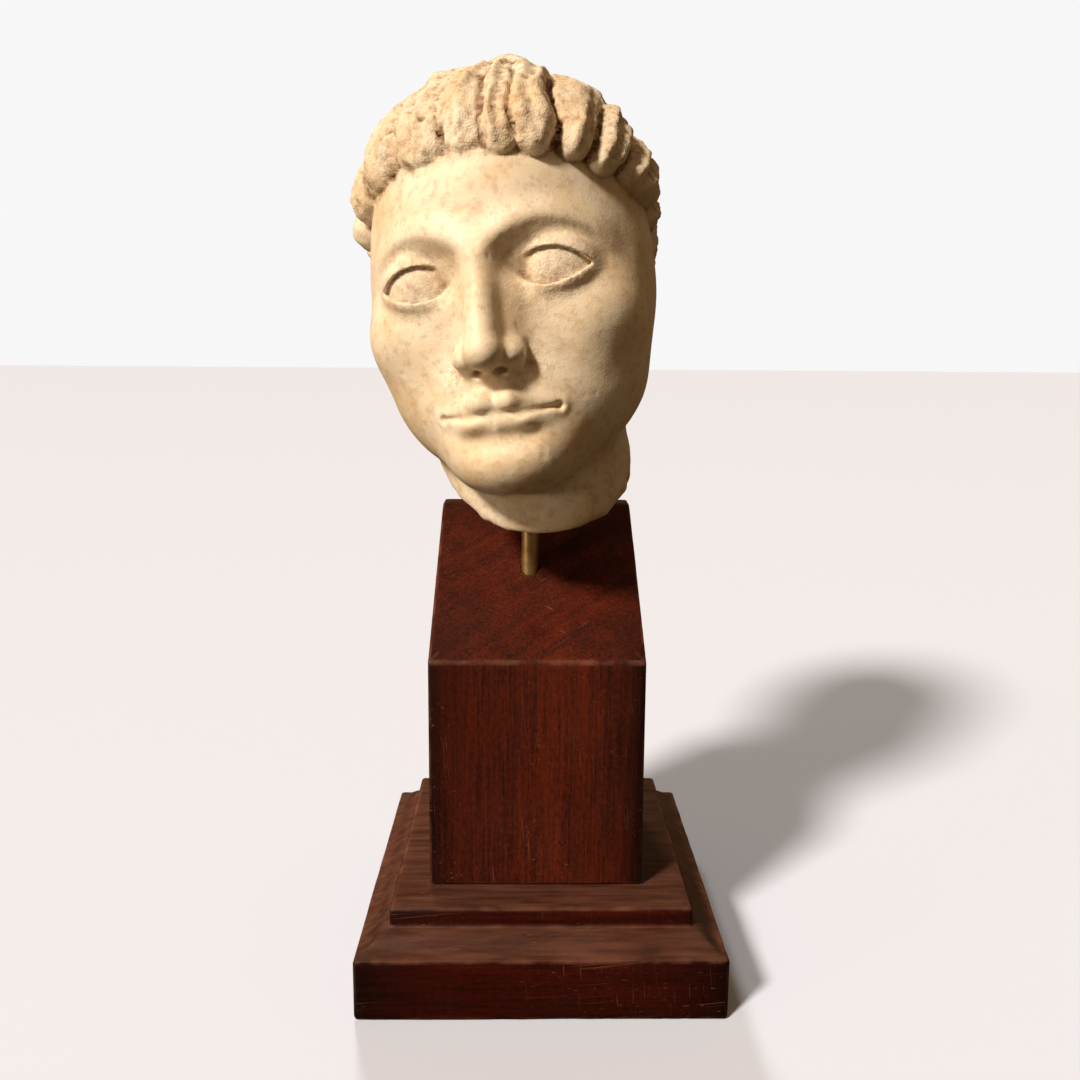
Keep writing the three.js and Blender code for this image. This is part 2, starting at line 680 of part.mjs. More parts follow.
function plinthBase() {
  const rings = boardProfile();
  const points = [[0, 0, boardTop]];
  const columns = 4 * (CORNER_STEPS + 1);
  [...rings].reverse().forEach(([half, height]) => {
    for (let corner = 0; corner < 4; corner += 1) {
      for (let step = 0; step <= CORNER_STEPS; step += 1) {
        const angle = (corner + step / CORNER_STEPS) * (Math.PI / 2);
        const middle = (corner + 0.5) * (Math.PI / 2);
        const inset = (half - BOARD_CORNER) * Math.SQRT2;
        points.push([
          inset * Math.cos(middle) + BOARD_CORNER * Math.cos(angle),
          inset * Math.sin(middle) + BOARD_CORNER * Math.sin(angle),
          height,
        ]);
      }
    }
  });
  points.push([0, 0, 0]);
  return geometryFrom(points, ringTriangles(points, rings.length, columns));
}

// Finishes

const marble = new THREE.MeshStandardMaterial({ color: 0xe6d3ab, roughness: 0.6, metalness: 0 });
const brass = new THREE.MeshStandardMaterial({ color: 0xc9a24e, roughness: 0.3, metalness: 1 });
const mahogany = new THREE.MeshStandardMaterial({ color: 0x4a1812, roughness: 0.4, metalness: 0 });

function piece(name, geometry, material) {
  const mesh = new THREE.Mesh(geometry, material);
  mesh.name = name;
  return mesh;
}

const work = new THREE.Group();
work.add(piece('plinth_base', plinthBase(), mahogany));
work.add(piece('plinth_column', plinthColumn(), mahogany));
work.add(piece('mounting_rod', mountingRod(), brass));
work.add(piece('marble_head', marbleHead(), marble));

export default work;
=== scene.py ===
# A carved marble head on a brass rod above a wooden plinth: the finish of each piece.

import math

import bpy
import numpy as np
from mathutils import Matrix, Vector


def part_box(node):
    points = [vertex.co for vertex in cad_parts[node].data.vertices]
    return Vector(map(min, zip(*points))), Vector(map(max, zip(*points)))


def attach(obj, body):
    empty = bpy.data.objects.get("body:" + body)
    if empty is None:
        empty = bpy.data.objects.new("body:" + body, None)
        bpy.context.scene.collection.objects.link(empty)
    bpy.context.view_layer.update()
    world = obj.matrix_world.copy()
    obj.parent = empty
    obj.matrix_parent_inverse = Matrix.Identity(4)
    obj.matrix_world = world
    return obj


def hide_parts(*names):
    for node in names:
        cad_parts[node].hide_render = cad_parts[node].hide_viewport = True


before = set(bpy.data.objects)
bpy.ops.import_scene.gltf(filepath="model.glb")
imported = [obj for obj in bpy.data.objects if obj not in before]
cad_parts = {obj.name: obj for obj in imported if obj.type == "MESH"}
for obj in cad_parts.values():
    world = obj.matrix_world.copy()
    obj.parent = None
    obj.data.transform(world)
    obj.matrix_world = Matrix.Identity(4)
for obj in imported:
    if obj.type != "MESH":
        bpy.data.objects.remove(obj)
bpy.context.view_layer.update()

# The camera stands a little above the head and looks down eight degrees, as the photograph
# does. Its place and lens were worked out from the plinth's own corners.
CAMERA_PLACE = Vector((-0.00603, -0.35518, 0.22096))
CAMERA_DOWN = 0.145
CAMERA_TURN = 0.015
CAMERA_ROLL = 0.007
CAMERA_LENS = 31.53
CAMERA_SHIFT = -0.037

forward = Vector((
    math.sin(CAMERA_TURN) * math.cos(CAMERA_DOWN),
    math.cos(CAMERA_TURN) * math.cos(CAMERA_DOWN),
    -math.sin(CAMERA_DOWN),
))
level = Vector((math.cos(CAMERA_TURN), -math.sin(CAMERA_TURN), 0))
upward = level.cross(forward)
right = level * math.cos(CAMERA_ROLL) + upward * math.sin(CAMERA_ROLL)
top = upward * math.cos(CAMERA_ROLL) - level * math.sin(CAMERA_ROLL)
aim = Matrix((right, top, -forward)).transposed().to_4x4()
camera_data = bpy.data.cameras.new("camera")
camera_data.sensor_width = 36
camera_data.lens = CAMERA_LENS
camera_data.shift_y = CAMERA_SHIFT
camera = bpy.data.objects.new("camera", camera_data)
camera.matrix_world = Matrix.Translation(CAMERA_PLACE) @ aim
bpy.context.scene.collection.objects.link(camera)
bpy.context.scene.camera = camera

# Plinth board: one square of mahogany, its edge run to a shallow moulding and a raised tier. It is stained
# dark red and polished, its arrises are rubbed, painted shade darkens its faces towards the corners, and
# dust with a painted sheen lies on what faces up.
MM = 0.001
BOARD_ARRIS = 1.0 * MM
BOARD_CORNER = 1.2 * MM
BOARD_EDGE = 22 * MM
BOARD_STEP = 2.2 * MM
BOARD_RUB = 0.4 * MM
MOULDING_WIDTH = 10 * MM
MOULDING_RISE = 5.4 * MM
TIER_ARRIS = 1.2 * MM
ARRIS_WEAR = 0.6
MOULDING_WEAR = 0.5
CORNER_WEAR = 0.35
CORNER_STEPS = 4
BOARD_DARK = "#1C0502"
BOARD_RED = "#3F0C05"
BOARD_DUST_AND_SHEEN = 0.46
PORE_AND_EDGE_SHADE = "#0B0201"
BARE_WOOD = "#8A5A42"
DUST_AND_SHEEN = "#7C5645"
# Turns a pattern's length to run up the column's slope and to the right
SLOPE_LINE = (0, -0.38, 0.594)
# Scratches: millimetres across and along, and how they are turned
BOARD_SCRATCHES = [(0.4, 40, (0, -0.1, 0)), (0.4, 30, (0, -0.08, 0.15)), (0.3, 12, (0, 1.5, 0))]
# Patterns in the wood: millimetres across and along, the noise's detail, and a turn where they
# don't follow the grain. Real pores and scratches are a tenth of a millimetre wide, and are drawn
# three to five times as wide to show.
WOOD_PATTERNS = {
    "figure": (10, 120, 3, None),
    "lines": (0.8, 26, 3, None),
    "flecks": (1.2, 2, 3, None),
    "ribbon": (4, 45, 3, SLOPE_LINE),
    "pores": (0.5, 3.5, 1, None),
    "dust_and_sheen": (2.5, 22, 5, None),
    "handling": (26, 26, 2, None),
    "specks": (0.9, 0.9, 2, None),
    "rubbing": (9, 9, 5, None),
    "polish": (30, 30, 3, None),
}


def linear(colour):
    """A hex colour as the linear values that a shader takes."""
    parts = [int(colour[i:i + 2], 16) / 255 for i in (1, 3, 5)]
    return [c / 12.92 if c <= 0.04045 else ((c + 0.055) / 1.055) ** 2.4 for c in parts] + [1.0]


def add_node(tree, kind, inputs=None, ramp=None, **settings):
    """A node with its settings. An input is set to a value or linked to an output, and a node
    given as an input stands for its first output."""
    node = tree.nodes.new("ShaderNode" + kind)
    for name, value in settings.items():
        setattr(node, name, value)
    for name, value in (inputs or {}).items():
        if isinstance(value, bpy.types.Node):
            value = value.outputs[0]
        if isinstance(value, bpy.types.NodeSocket):
            tree.links.new(value, node.inputs[name])
        else:
            node.inputs[name].default_value = value
    if ramp:
        elements = node.color_ramp.elements
        for element, (place, colour) in zip((elements[0], elements[1]), (ramp[0], ramp[-1])):
            element.position, element.color = place, linear(colour)
        for place, colour in ramp[1:-1]:
            elements.new(place).color = linear(colour)
    return node


def ease(start, end, value):
    """Zero before start, one after end, and smooth between, for numbers or arrays."""
    t = np.clip((value - start) / (end - start), 0, 1)
    return t * t * (3 - 2 * t)


def mottle(points, size, seed):
    """Soft lumps about size across, from minus one to one, the same in every run."""
    places = np.asarray(points) / size + seed * 17.31
    cell = np.floor(places).astype(np.int64)
    part = places - cell
    part = part * part * (3 - 2 * part)
    total = np.zeros(len(places))
    for corner in range(8):
        step = np.array([(corner >> axis) & 1 for axis in range(3)])
        key = (cell + step) * np.array([374761393, 668265263, 2147483647])
        mixed = (key.sum(1) ^ (seed * 1442695041)) & 0xFFFFFFFF
        mixed = (mixed ^ (mixed >> 13)) * 1274126177 & 0xFFFFFFFF
        share = np.where(step, part, 1 - part).prod(1)
        total += share * ((mixed ^ (mixed >> 16)) & 0xFFFF) / 32767.5
    return total - 1


def new_piece(name, points, faces, material):
    """A mesh object at the origin, its points in metres in the frame."""
    mesh = bpy.data.meshes.new(name)
    mesh.from_pydata(np.asarray(points).tolist(), [], [list(map(int, face)) for face in faces])
    mesh.update()
    mesh.shade_smooth()
    mesh.materials.append(material)
    piece = bpy.data.objects.new(name, mesh)
    bpy.context.scene.collection.objects.link(piece)
    return piece


def paint(piece, name, values):
    """A number on each point of a piece, which its material reads."""
    attribute = piece.data.attributes.new(name, "FLOAT", "POINT")
    attribute.data.foreach_set("value", np.asarray(values, np.float32))


def mahogany(name, grain, dark, red, scratches, dust_and_sheen_share):
    """Stained and polished mahogany with its grain along one axis. Stripes of figure pass from dark to
    red, open pores draw short dark lines in the satin polish, painted shade darkens each face towards its
    vertical arrises, scratches and rubbed arrises show the paler wood below, and dust with a painted sheen
    has dulled and lightened what faces up."""
    material = bpy.data.materials.new(name)
    material.use_nodes = True
    tree = material.node_tree
    shader = tree.nodes["Principled BSDF"]
    place = add_node(tree, "TexCoord").outputs["Object"]
    layers = dict(WOOD_PATTERNS)
    for number, (across, along, turn) in enumerate(scratches):
        layers[number] = (across, along, 0, turn)
    pattern = {}
    for key, (across, along, detail, turn) in layers.items():
        size = [across * MM] * 3
        size[0 if turn else grain] = along * MM
        laid = add_node(
            tree, "Mapping", {"Vector": place, "Scale": size, "Rotation": turn or (0, 0, 0)},
            vector_type="TEXTURE",
        )
        pattern[key] = add_node(tree, "TexNoise", {"Vector": laid, "Scale": 1.0, "Detail": detail})

    # The stain follows the grain, and on the slope a ribbon figure crosses it
    normal = add_node(tree, "NewGeometry").outputs["Normal"]
    upright = add_node(tree, "SeparateXYZ", {"Vector": normal}).outputs["Z"]
    faces_up = add_node(tree, "MapRange", {0: upright, 1: 0.45, 2: 0.9})
    tone = add_node(tree, "Math", {0: pattern["figure"], 1: 0.3}, operation="MULTIPLY")
    for key, share in (("lines", 0.4), ("flecks", 0.3)):
        tone = add_node(tree, "Math", {0: pattern[key], 1: share, 2: tone}, operation="MULTIPLY_ADD")
    ribbon = add_node(tree, "Math", {0: pattern["ribbon"], 1: 0.5}, operation="SUBTRACT")
    ribbon = add_node(tree, "Math", {0: ribbon, 1: faces_up}, operation="MULTIPLY")
    tone = add_node(tree, "Math", {0: ribbon, 1: 0.35, 2: tone}, operation="MULTIPLY_ADD")
    stained = add_node(tree, "ValToRGB", {"Fac": tone}, ramp=[(0.38, dark), (0.64, red)])

    # Pores are the darkest, and painted shade darkens each face towards its vertical corners
    pore = add_node(tree, "MapRange", {0: pattern["pores"], 1: 0.58, 2: 0.72})
    in_pore = add_node(tree, "Math", {0: pore, 1: 0.55}, operation="MULTIPLY")
    edge = add_node(tree, "Attribute", attribute_name="edge").outputs["Fac"]
    painted_edge_shade = add_node(tree, "Math", {0: edge, 1: 0.85}, operation="MULTIPLY")
    shade = add_node(tree, "Math", {0: in_pore, 1: painted_edge_shade}, operation="MAXIMUM")
    colour = add_node(tree, "Mix", {0: shade, 6: stained, 7: linear(PORE_AND_EDGE_SHADE)}, data_type="RGBA").outputs[2]

    # Dust lies in streaks on what faces up, lightening it as a painted sheen
    dust_and_sheen = add_node(tree, "MapRange", {0: pattern["dust_and_sheen"], 1: 0.34, 2: 0.66, 3: 0.35})
    dust_and_sheen = add_node(tree, "Math", {0: dust_and_sheen, 1: faces_up}, operation="MULTIPLY")
    dust_and_sheen = add_node(tree, "Math", {0: dust_and_sheen, 1: dust_and_sheen_share}, operation="MULTIPLY")
    colour = add_node(tree, "Mix", {0: dust_and_sheen, 6: colour, 7: linear(DUST_AND_SHEEN)}, data_type="RGBA").outputs[2]

    # Specks and scratches come where hands and cloths have been, and arrises are rubbed bare
    bare = add_node(tree, "MapRange", {0: pattern["specks"], 1: 0.7, 2: 0.8})
    bare = add_node(tree, "Math", {0: bare, 1: 0.5}, operation="MULTIPLY")
    for number in range(len(scratches)):
        scratch = add_node(tree, "MapRange", {0: pattern[number], 1: 0.76, 2: 0.86})
        bare = add_node(tree, "Math", {0: bare, 1: scratch}, operation="MAXIMUM")
    handled = add_node(tree, "MapRange", {0: pattern["handling"], 1: 0.46, 2: 0.62})
    bare = add_node(tree, "Math", {0: bare, 1: handled}, operation="MULTIPLY")
    worn = add_node(tree, "Attribute", attribute_name="worn").outputs["Fac"]
    rubbed = add_node(tree, "MapRange", {0: pattern["rubbing"], 1: 0.4, 2: 0.68})
    rubbed = add_node(tree, "Math", {0: rubbed, 1: worn}, operation="MULTIPLY")
    bare = add_node(tree, "Math", {0: bare, 1: rubbed}, operation="MAXIMUM")
    bare = add_node(tree, "Math", {0: bare, 1: 0.6}, operation="MULTIPLY")
    colour = add_node(tree, "Mix", {0: bare, 6: colour, 7: linear(BARE_WOOD)}, data_type="RGBA").outputs[2]
    tree.links.new(colour, shader.inputs["Base Color"])

    # The polish is satin, sunk a little in the pores and scratches
    polish = add_node(tree, "MapRange", {0: pattern["polish"], 1: 0.3, 2: 0.7, 3: 0.4, 4: 0.56})
    tree.links.new(polish.outputs[0], shader.inputs["Roughness"])
    height = add_node(tree, "Math", {0: pattern["lines"], 1: 0.6}, operation="MULTIPLY")
    height = add_node(tree, "Math", {0: pore, 1: -0.8, 2: height}, operation="MULTIPLY_ADD")
    height = add_node(tree, "Math", {0: bare, 1: -0.6, 2: height}, operation="MULTIPLY_ADD")
    bump = add_node(tree, "Bump", {"Height": height, "Strength": 0.3, "Distance": 0.12 * MM})
    tree.links.new(bump.outputs[0], shader.inputs["Normal"])
    shader.inputs["IOR"].default_value = 1.5
    shader.inputs["Specular IOR Level"].default_value = 0.2
    return material


def arris(radius, count):
    """How far a rounded edge lies inside its side and below its top, from the side to the top."""
    turns = np.linspace(0, math.pi / 2, count)
    return list(zip(radius * (1 - np.cos(turns)), radius * (1 - np.sin(turns))))


def ring_faces(rings, count):
    """Four-sided faces between rings of so many points each, and a face at either end."""
    faces = []
    for start in range(0, (rings - 1) * count, count):
        for i in range(count):
            a, b = start + i, start + (i + 1) % count
            faces.append((a, b, b + count, a + count))
    faces.append(list(range(count))[::-1])
    faces.append([(rings - 1) * count + i for i in range(count)])
    return faces


def square_loft(name, centre, rings, top_height, foot, corner, step, material):
    """A square body built ring by ring from its underside to its top. A ring is its half width,
    its share of the way from foot to top, its drop below that height and its wear. The top may
    slope."""
    half_max = max(ring[0] for ring in rings)
    per_side = int(2 * half_max / step)
    count = 4 * (per_side + CORNER_STEPS - 1)
    # The edge values are painted shade, darkest at the vertical corners of the outer faces
    points, wear, edge = [], [], []
    for half, _, _, worn in rings:
        radius = min(corner, half * 0.9)
        flat = half - radius
        reach = (half / half_max) ** 4
        for side in range(4):
            out = np.array([math.cos(side * math.pi / 2), math.sin(side * math.pi / 2)])
            along = np.array([-out[1], out[0]])
            for across in np.linspace(-1, 1, per_side):
                points.append(out * half + along * flat * across)
                wear.append(worn)
                edge.append(across ** 4 * reach)
            for i in range(1, CORNER_STEPS):
                angle = (side + i / CORNER_STEPS) * math.pi / 2
                round_part = radius * np.array([math.cos(angle), math.sin(angle)])
                points.append((out + along) * flat + round_part)
                wear.append(max(worn, CORNER_WEAR if half > half_max - 3 * MM else 0))
                edge.append(reach)
    points = np.array(points) + np.array(centre)
    shares = np.repeat([ring[1] for ring in rings], count)
    drops = np.repeat([ring[2] for ring in rings], count)
    heights = foot + shares * (top_height(points[:, 1]) - foot) - drops
    body = np.column_stack([points, heights])
    piece = new_piece(name, body, ring_faces(len(rings), count), material)
    paint(piece, "worn", wear)
    paint(piece, "edge", edge)
    return piece


def wear_down(piece, depth):
    """Rubs the arrises unevenly, deepest where the wear is painted, and never outwards."""
    mesh = piece.data
    points = np.zeros(len(mesh.vertices) * 3)
    normals = np.zeros(len(mesh.vertices) * 3)
    worn = np.zeros(len(mesh.vertices))
    mesh.vertices.foreach_get("co", points)
    mesh.vertices.foreach_get("normal", normals)
    mesh.attributes["worn"].data.foreach_get("value", worn)
    points, normals = points.reshape(-1, 3), normals.reshape(-1, 3)
    uneven = 0.5 + 0.5 * mottle(points, 7 * MM, 3)
    dents = np.clip(mottle(points, 2.5 * MM, 4) - 0.45, 0, 1)
    points = points - normals * (worn * (uneven + dents) * depth)[:, None]
    mesh.vertices.foreach_set("co", points.ravel())
    mesh.update()


board_low, board_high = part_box("plinth_base")
board_half = board_high.x
board_top = board_high.z
tier_half = board_half - BOARD_ARRIS - MOULDING_WIDTH
tier_foot = BOARD_EDGE + MOULDING_RISE
tier_shoulder = board_top - TIER_ARRIS
board_profile = [
    (board_half - BOARD_ARRIS * 1.5, 0, 0),
    (board_half - BOARD_ARRIS * 0.3, BOARD_ARRIS * 0.3, ARRIS_WEAR),
    (board_half, BOARD_ARRIS, ARRIS_WEAR),
]
for height in np.linspace(BOARD_ARRIS * 1.4, BOARD_EDGE - BOARD_ARRIS * 1.4, 10):
    board_profile.append((board_half, height, 0))
for inside, below in arris(BOARD_ARRIS, 5):
    board_profile.append((board_half - inside, BOARD_EDGE - below, ARRIS_WEAR))
for t in np.linspace(0.04, 1, 17):
    half = board_half - BOARD_ARRIS - MOULDING_WIDTH * t
    height = BOARD_EDGE + MOULDING_RISE * ease(0, 1, t)
    board_profile.append((half, height, MOULDING_WEAR * abs(2 * t - 1) ** 3))
for t in np.linspace(0.25, 1, 4):
    board_profile.append((tier_half, tier_foot + (tier_shoulder - tier_foot) * t, 0))
for inside, below in arris(TIER_ARRIS, 5)[1:]:
    board_profile.append((tier_half - inside, board_top - below, ARRIS_WEAR))
for share in np.linspace(0.99, 0.04, 30):
    board_profile.append(((tier_half - TIER_ARRIS) * share, board_top, 0))
board_wood = mahogany(
    "stained_mahogany_board", 0, BOARD_DARK, BOARD_RED, BOARD_SCRATCHES, BOARD_DUST_AND_SHEEN
)
board = square_loft(
    "moulded_board", (0, 0), [(half, 0, -height, worn) for half, height, worn in board_profile],
    lambda y: np.full(len(y), board_top), 0.0, BOARD_CORNER, BOARD_STEP, board_wood,
)
wear_down(board, BOARD_RUB)
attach(board, "root")
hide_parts("plinth_base")

# Plinth column: a three-inch square of the same mahogany with its grain upright, its top sawn
# to a long slope behind the head. It is drilled for the rod, and fixed down on the board.
COLUMN_ARRIS = 0.8 * MM
COLUMN_CORNER = 1.0 * MM
COLUMN_STEP = 1.8 * MM
COLUMN_RUB = 0.3 * MM
COLUMN_FRONT_HEIGHT = 83 * MM
SLOPE_RUN = 64.6 * MM
SOCKET_GAP = 0.3 * MM
FOOT_WEAR = 0.5
CREASE_WEAR = 0.7
COLUMN_DARK = "#2E100A"
COLUMN_RED = "#5C200E"
COLUMN_DUST_AND_SHEEN = 0.0
COLUMN_SCRATCHES = [(0.5, 9, SLOPE_LINE), (0.6, 4, (0, 0.3, -0.5)), (0.4, 16, (0, 1.5, 0))]

column_low, column_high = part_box("plinth_column")
column_half = (column_high.x - column_low.x) / 2
column_middle = ((column_high.x + column_low.x) / 2, 0)
crease_height = column_low.z + COLUMN_FRONT_HEIGHT
slope = (column_high.z - crease_height) / SLOPE_RUN


def column_height(back):
    """Height of the column's top at each distance back from the middle."""
    return np.minimum(crease_height + slope * (back + column_half), column_high.z)


# The last upright ring stays below the rounded arris, so that the loft never crosses itself
column_rings = [
    (column_half - COLUMN_ARRIS, 0, 0, 0),
    (column_half, 0, -COLUMN_ARRIS, FOOT_WEAR),
]
for share in np.linspace(0.015, 0.985, 50):
    column_rings.append((column_half, share, 0, 0))
for inside, below in arris(COLUMN_ARRIS, 6):
    column_rings.append((column_half - inside, 1, below, CREASE_WEAR))
for share in np.linspace(0.992, 0.022, 40):
    column_rings.append(((column_half - COLUMN_ARRIS) * share, 1, 0, 0))
column_wood = mahogany(
    "stained_mahogany_column", 2, COLUMN_DARK, COLUMN_RED, COLUMN_SCRATCHES, COLUMN_DUST_AND_SHEEN
)
column = square_loft(
    "sloping_column", column_middle, column_rings, column_height, column_low.z,
    COLUMN_CORNER, COLUMN_STEP, column_wood,
)
wear_down(column, COLUMN_RUB)
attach(column, "root")
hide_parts("plinth_column")

# Mounting rod: a length of quarter-inch brass rod, drawn and a little dulled, its ends eased
# with a file. It stands in a blind hole in the column and another in the neck.
BRASS = "#D2B682"
TARNISHED_BRASS = "#B39660"
TARNISH_SIZE = 3.85 * MM
ROD_EASE = 0.4 * MM
ROD_SIDES = 64
# Drawing leaves fine lines along the rod, drawn here a third of a millimetre apart to show
DRAWN_LINES = (MM / 3, MM / 3, 25 * MM)

rod_low, rod_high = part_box("mounting_rod")
rod_radius = (rod_high.x - rod_low.x) / 2
rod_x, rod_y = (rod_high.x + rod_low.x) / 2, (rod_high.y + rod_low.y) / 2
brass = bpy.data.materials.new("drawn_brass")
brass.use_nodes = True
tree = brass.node_tree
shader = tree.nodes["Principled BSDF"]
place = add_node(tree, "TexCoord").outputs["Object"]
lines = add_node(tree, "Mapping", {"Vector": place, "Scale": DRAWN_LINES}, vector_type="TEXTURE")
lines = add_node(tree, "TexNoise", {"Vector": lines, "Scale": 1.0, "Detail": 2.0})
tarnish = add_node(tree, "TexNoise", {"Vector": place, "Scale": 1 / TARNISH_SIZE, "Detail": 3.0})
colour = add_node(tree, "ValToRGB", {"Fac": tarnish}, ramp=[(0.3, TARNISHED_BRASS), (0.6, BRASS)])
tree.links.new(colour.outputs[0], shader.inputs["Base Color"])
dullness = add_node(tree, "MapRange", {0: lines, 1: 0.3, 2: 0.7, 3: 0.42, 4: 0.58})
tree.links.new(dullness.outputs[0], shader.inputs["Roughness"])
shader.inputs["Metallic"].default_value = 1.0


def round_points(profile):
    """Rings of points about the rod's middle line, from a radius at each height."""
    turns = np.arange(ROD_SIDES) * 2 * math.pi / ROD_SIDES
    rings = [
        np.column_stack([
            rod_x + radius * np.cos(turns), rod_y + radius * np.sin(turns), np.full(ROD_SIDES, height),
        ])
        for radius, height in profile
    ]
    return np.concatenate(rings)


rod_profile = [
    (rod_radius - ROD_EASE, rod_low.z), (rod_radius, rod_low.z + ROD_EASE),
    (rod_radius, rod_high.z - ROD_EASE), (rod_radius - ROD_EASE, rod_high.z),
]
rod = new_piece("brass_rod", round_points(rod_profile), ring_faces(4, ROD_SIDES), brass)
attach(rod, "root")
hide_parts("mounting_rod")

# The column's top is drilled for the rod
drill_radius = rod_radius + SOCKET_GAP
drill_profile = [
    (drill_radius, rod_low.z - SOCKET_GAP), (drill_radius, column_high.z + drill_radius),
]
drill = bpy.data.meshes.new("drill")
drill.from_pydata(round_points(drill_profile).tolist(), [], ring_faces(2, ROD_SIDES))
drill_object = bpy.data.objects.new("drill", drill)
bpy.context.scene.collection.objects.link(drill_object)
bore = column.modifiers.new("bore", "BOOLEAN")
bore.operation = "DIFFERENCE"
bore.object = drill_object
bore.solver = "EXACT"
bpy.context.view_layer.objects.active = column
bpy.ops.object.modifier_apply(modifier="bore")
bpy.data.objects.remove(drill_object)

# Marble head: one block of fine-grained white marble gone warm with age, carved in the round.
# The face is rubbed smooth, the hair is rough with dirt in its grooves, and the neck is broken.
HEAD_HEIGHT = 149
CARVED_HEIGHT = 156.5
UNIT = HEAD_HEIGHT / CARVED_HEIGHT
HEAD_ROLL = math.radians(-8)
HEAD_YAW = math.radians(-12)
HEAD_SIDE_OFFSET = -0.038
HEAD_BACK_OFFSET = -0.007
SOCKET_IN_HEAD = 30
CLIMB_STEP = 0.05

# Strokes of the carver on a head 156.5 units high with its eyes at zero: a ball or a bar, added
# or cut, and the softness of the blend. Each is on both sides, or on the middle line.
SKULL = ((0, 6, 20), (51, 62, 55))
MASSES = [
    ("ball", (0, -7, -10), (52.5, 46, 50), 16),
    ("ball", (0, -35, -44), (25, 23, 20), 16),
    ("ball", (24, -20, -36), (21, 24, 24), 14),
    ("ball", (0, -41, -59), (18, 16, 12.5), 11),
    ("bar", ((27, -2, -42), (10, -36, -58)), (13.5, 12.5), 14),
    ("ball", (30, -31, -16), (17, 17, 14), 13),
]
SOCKET = ("cut ball", (22, -61, 1.5), (17.5, 14.5, 10), 4)
NOSE = [
    ("bar", ((0, -45, 8), (0, -53.5, -25)), (6.6, 10.4), 7),
    ("bar", ((0, -51.5, 15), (0, -65.2, -23.5)), (4.4, 5.4), 4.5),
    ("ball", (8, -57, -26.2), (4.5, 6.4, 4.6), 3),
    ("ball", (0, -65, -25), (5.8, 5.6, 5.2), 3.5),
    ("cut bar", ((13.6, -54, -24), (12.8, -54.5, -30.5)), (0.5, 0.9), 3),
    ("cut ball", (4.2, -61, -31.4), (2, 3.6, 1.4), 1.6),
]
MOUTH = [
    ("bar", ((0, -58.2, -41.6), (4.6, -58.6, -41)), (2.7, 3.1), 3),
    ("bar", ((4.6, -58.6, -41), (20, -49, -44.8)), (3.1, 1.7), 3.4),
    ("bar", ((0, -57.2, -49.2), (8, -56, -48.9)), (4, 3.8), 3.4),
    ("bar", ((8, -56, -48.9), (18.5, -49.2, -46.6)), (3.8, 1.4), 3.8),
    ("cut bar", ((0, -62.4, -45.1), (9, -60, -45.6)), (1, 1), 1.2),
    ("cut bar", ((9, -60, -45.6), (20.4, -51.2, -45.3)), (1, 0.7), 1.2),
    ("cut ball", (20.4, -51.4, -45.4), (0.9, 1, 0.7), 2),
    ("cut bar", ((0, -62.2, -34), (0, -62.4, -38)), (0.6, 0.7), 3),
    ("cut bar", ((0, -61.8, -55.8), (9, -60, -55.2)), (2.6, 2.4), 8),
    ("ball", (0, -46.5, -62.5), (14, 11.5, 9.5), 9),
]
BROW = {"side": 22, "height": -9, "radius": 25.5, "swell": 2.2, "above": 5.5, "below": 3.4}
EYE = {"centre": (23, -38.6, -0.5), "radius": 14, "half": 14, "upper": 6.8, "lower": 4.8}
LIDS = {"lift": 1.4, "rim": 2.1, "shift": 0.6, "back": -30}
EARS = [(-1, 7.5, 9, 1), (1, 0.8, 20, -5)]
EAR_TILT = math.radians(12)
EAR_RADII = (11, 17)
CROWN = np.array([0, 0.42, 0.9075])
TO_FACE = np.array([0, -0.9075, 0.42])
HAIR_CENTRE = np.array([0, 6, 20])
HAIR_RADII = (51.3, 62.3, 55.3)

# Front locks from the viewer's left: width, height, how far the end hangs, how slowly it rises,
# and the share of height left in the groove before it
FIRST_EDGE = -122
FRONT_LOCKS = np.array([
    (20, 6, 0, 7, 0.35), (18, 7.5, 1, 7, 0.35), (17, 8.5, 4, 7, 0.3), (20, 8.2, 1, 9, 0.15),
    (24, 7.8, -2, 20, 0.5), (17, 6.8, -1, 22, 0.6), (12.5, 6.6, -2, 26, 0.75), (9.5, 7.6, 0.5, 13, 0.4),
    (12, 9.2, 1, 12, 0.62), (13.5, 8.4, 1, 9, 0.0), (13.5, 8.2, 3, 8, 0.35), (29, 8.2, 4, 7, -0.05),
    (18, 5.5, 0, 7, 0.35), (20, 4.5, 0, 7, 0.35),
])
LOCK_EDGES = np.concatenate([[FIRST_EDGE], FIRST_EDGE + np.cumsum(FRONT_LOCKS[:, 0])])
LAST_GROOVE = 0.35
GROOVES = np.append(FRONT_LOCKS[:, 4], LAST_GROOVE)
FRONT_LOCK_LENGTH = 72
FRONT_LOCK_TAIL = 22
FRONT_STRAND = 0.8
# The locks sweep so many degrees round to the crown on the viewer's right and left. They wave
# by a height, with a length down the lock and a shift between locks.
SWEEP = {"right": 27, "left": 6, "end": 92, "over": 40}
WAVES = [(1.5, 11, 0.05), (0.8, 5, 0.21)]
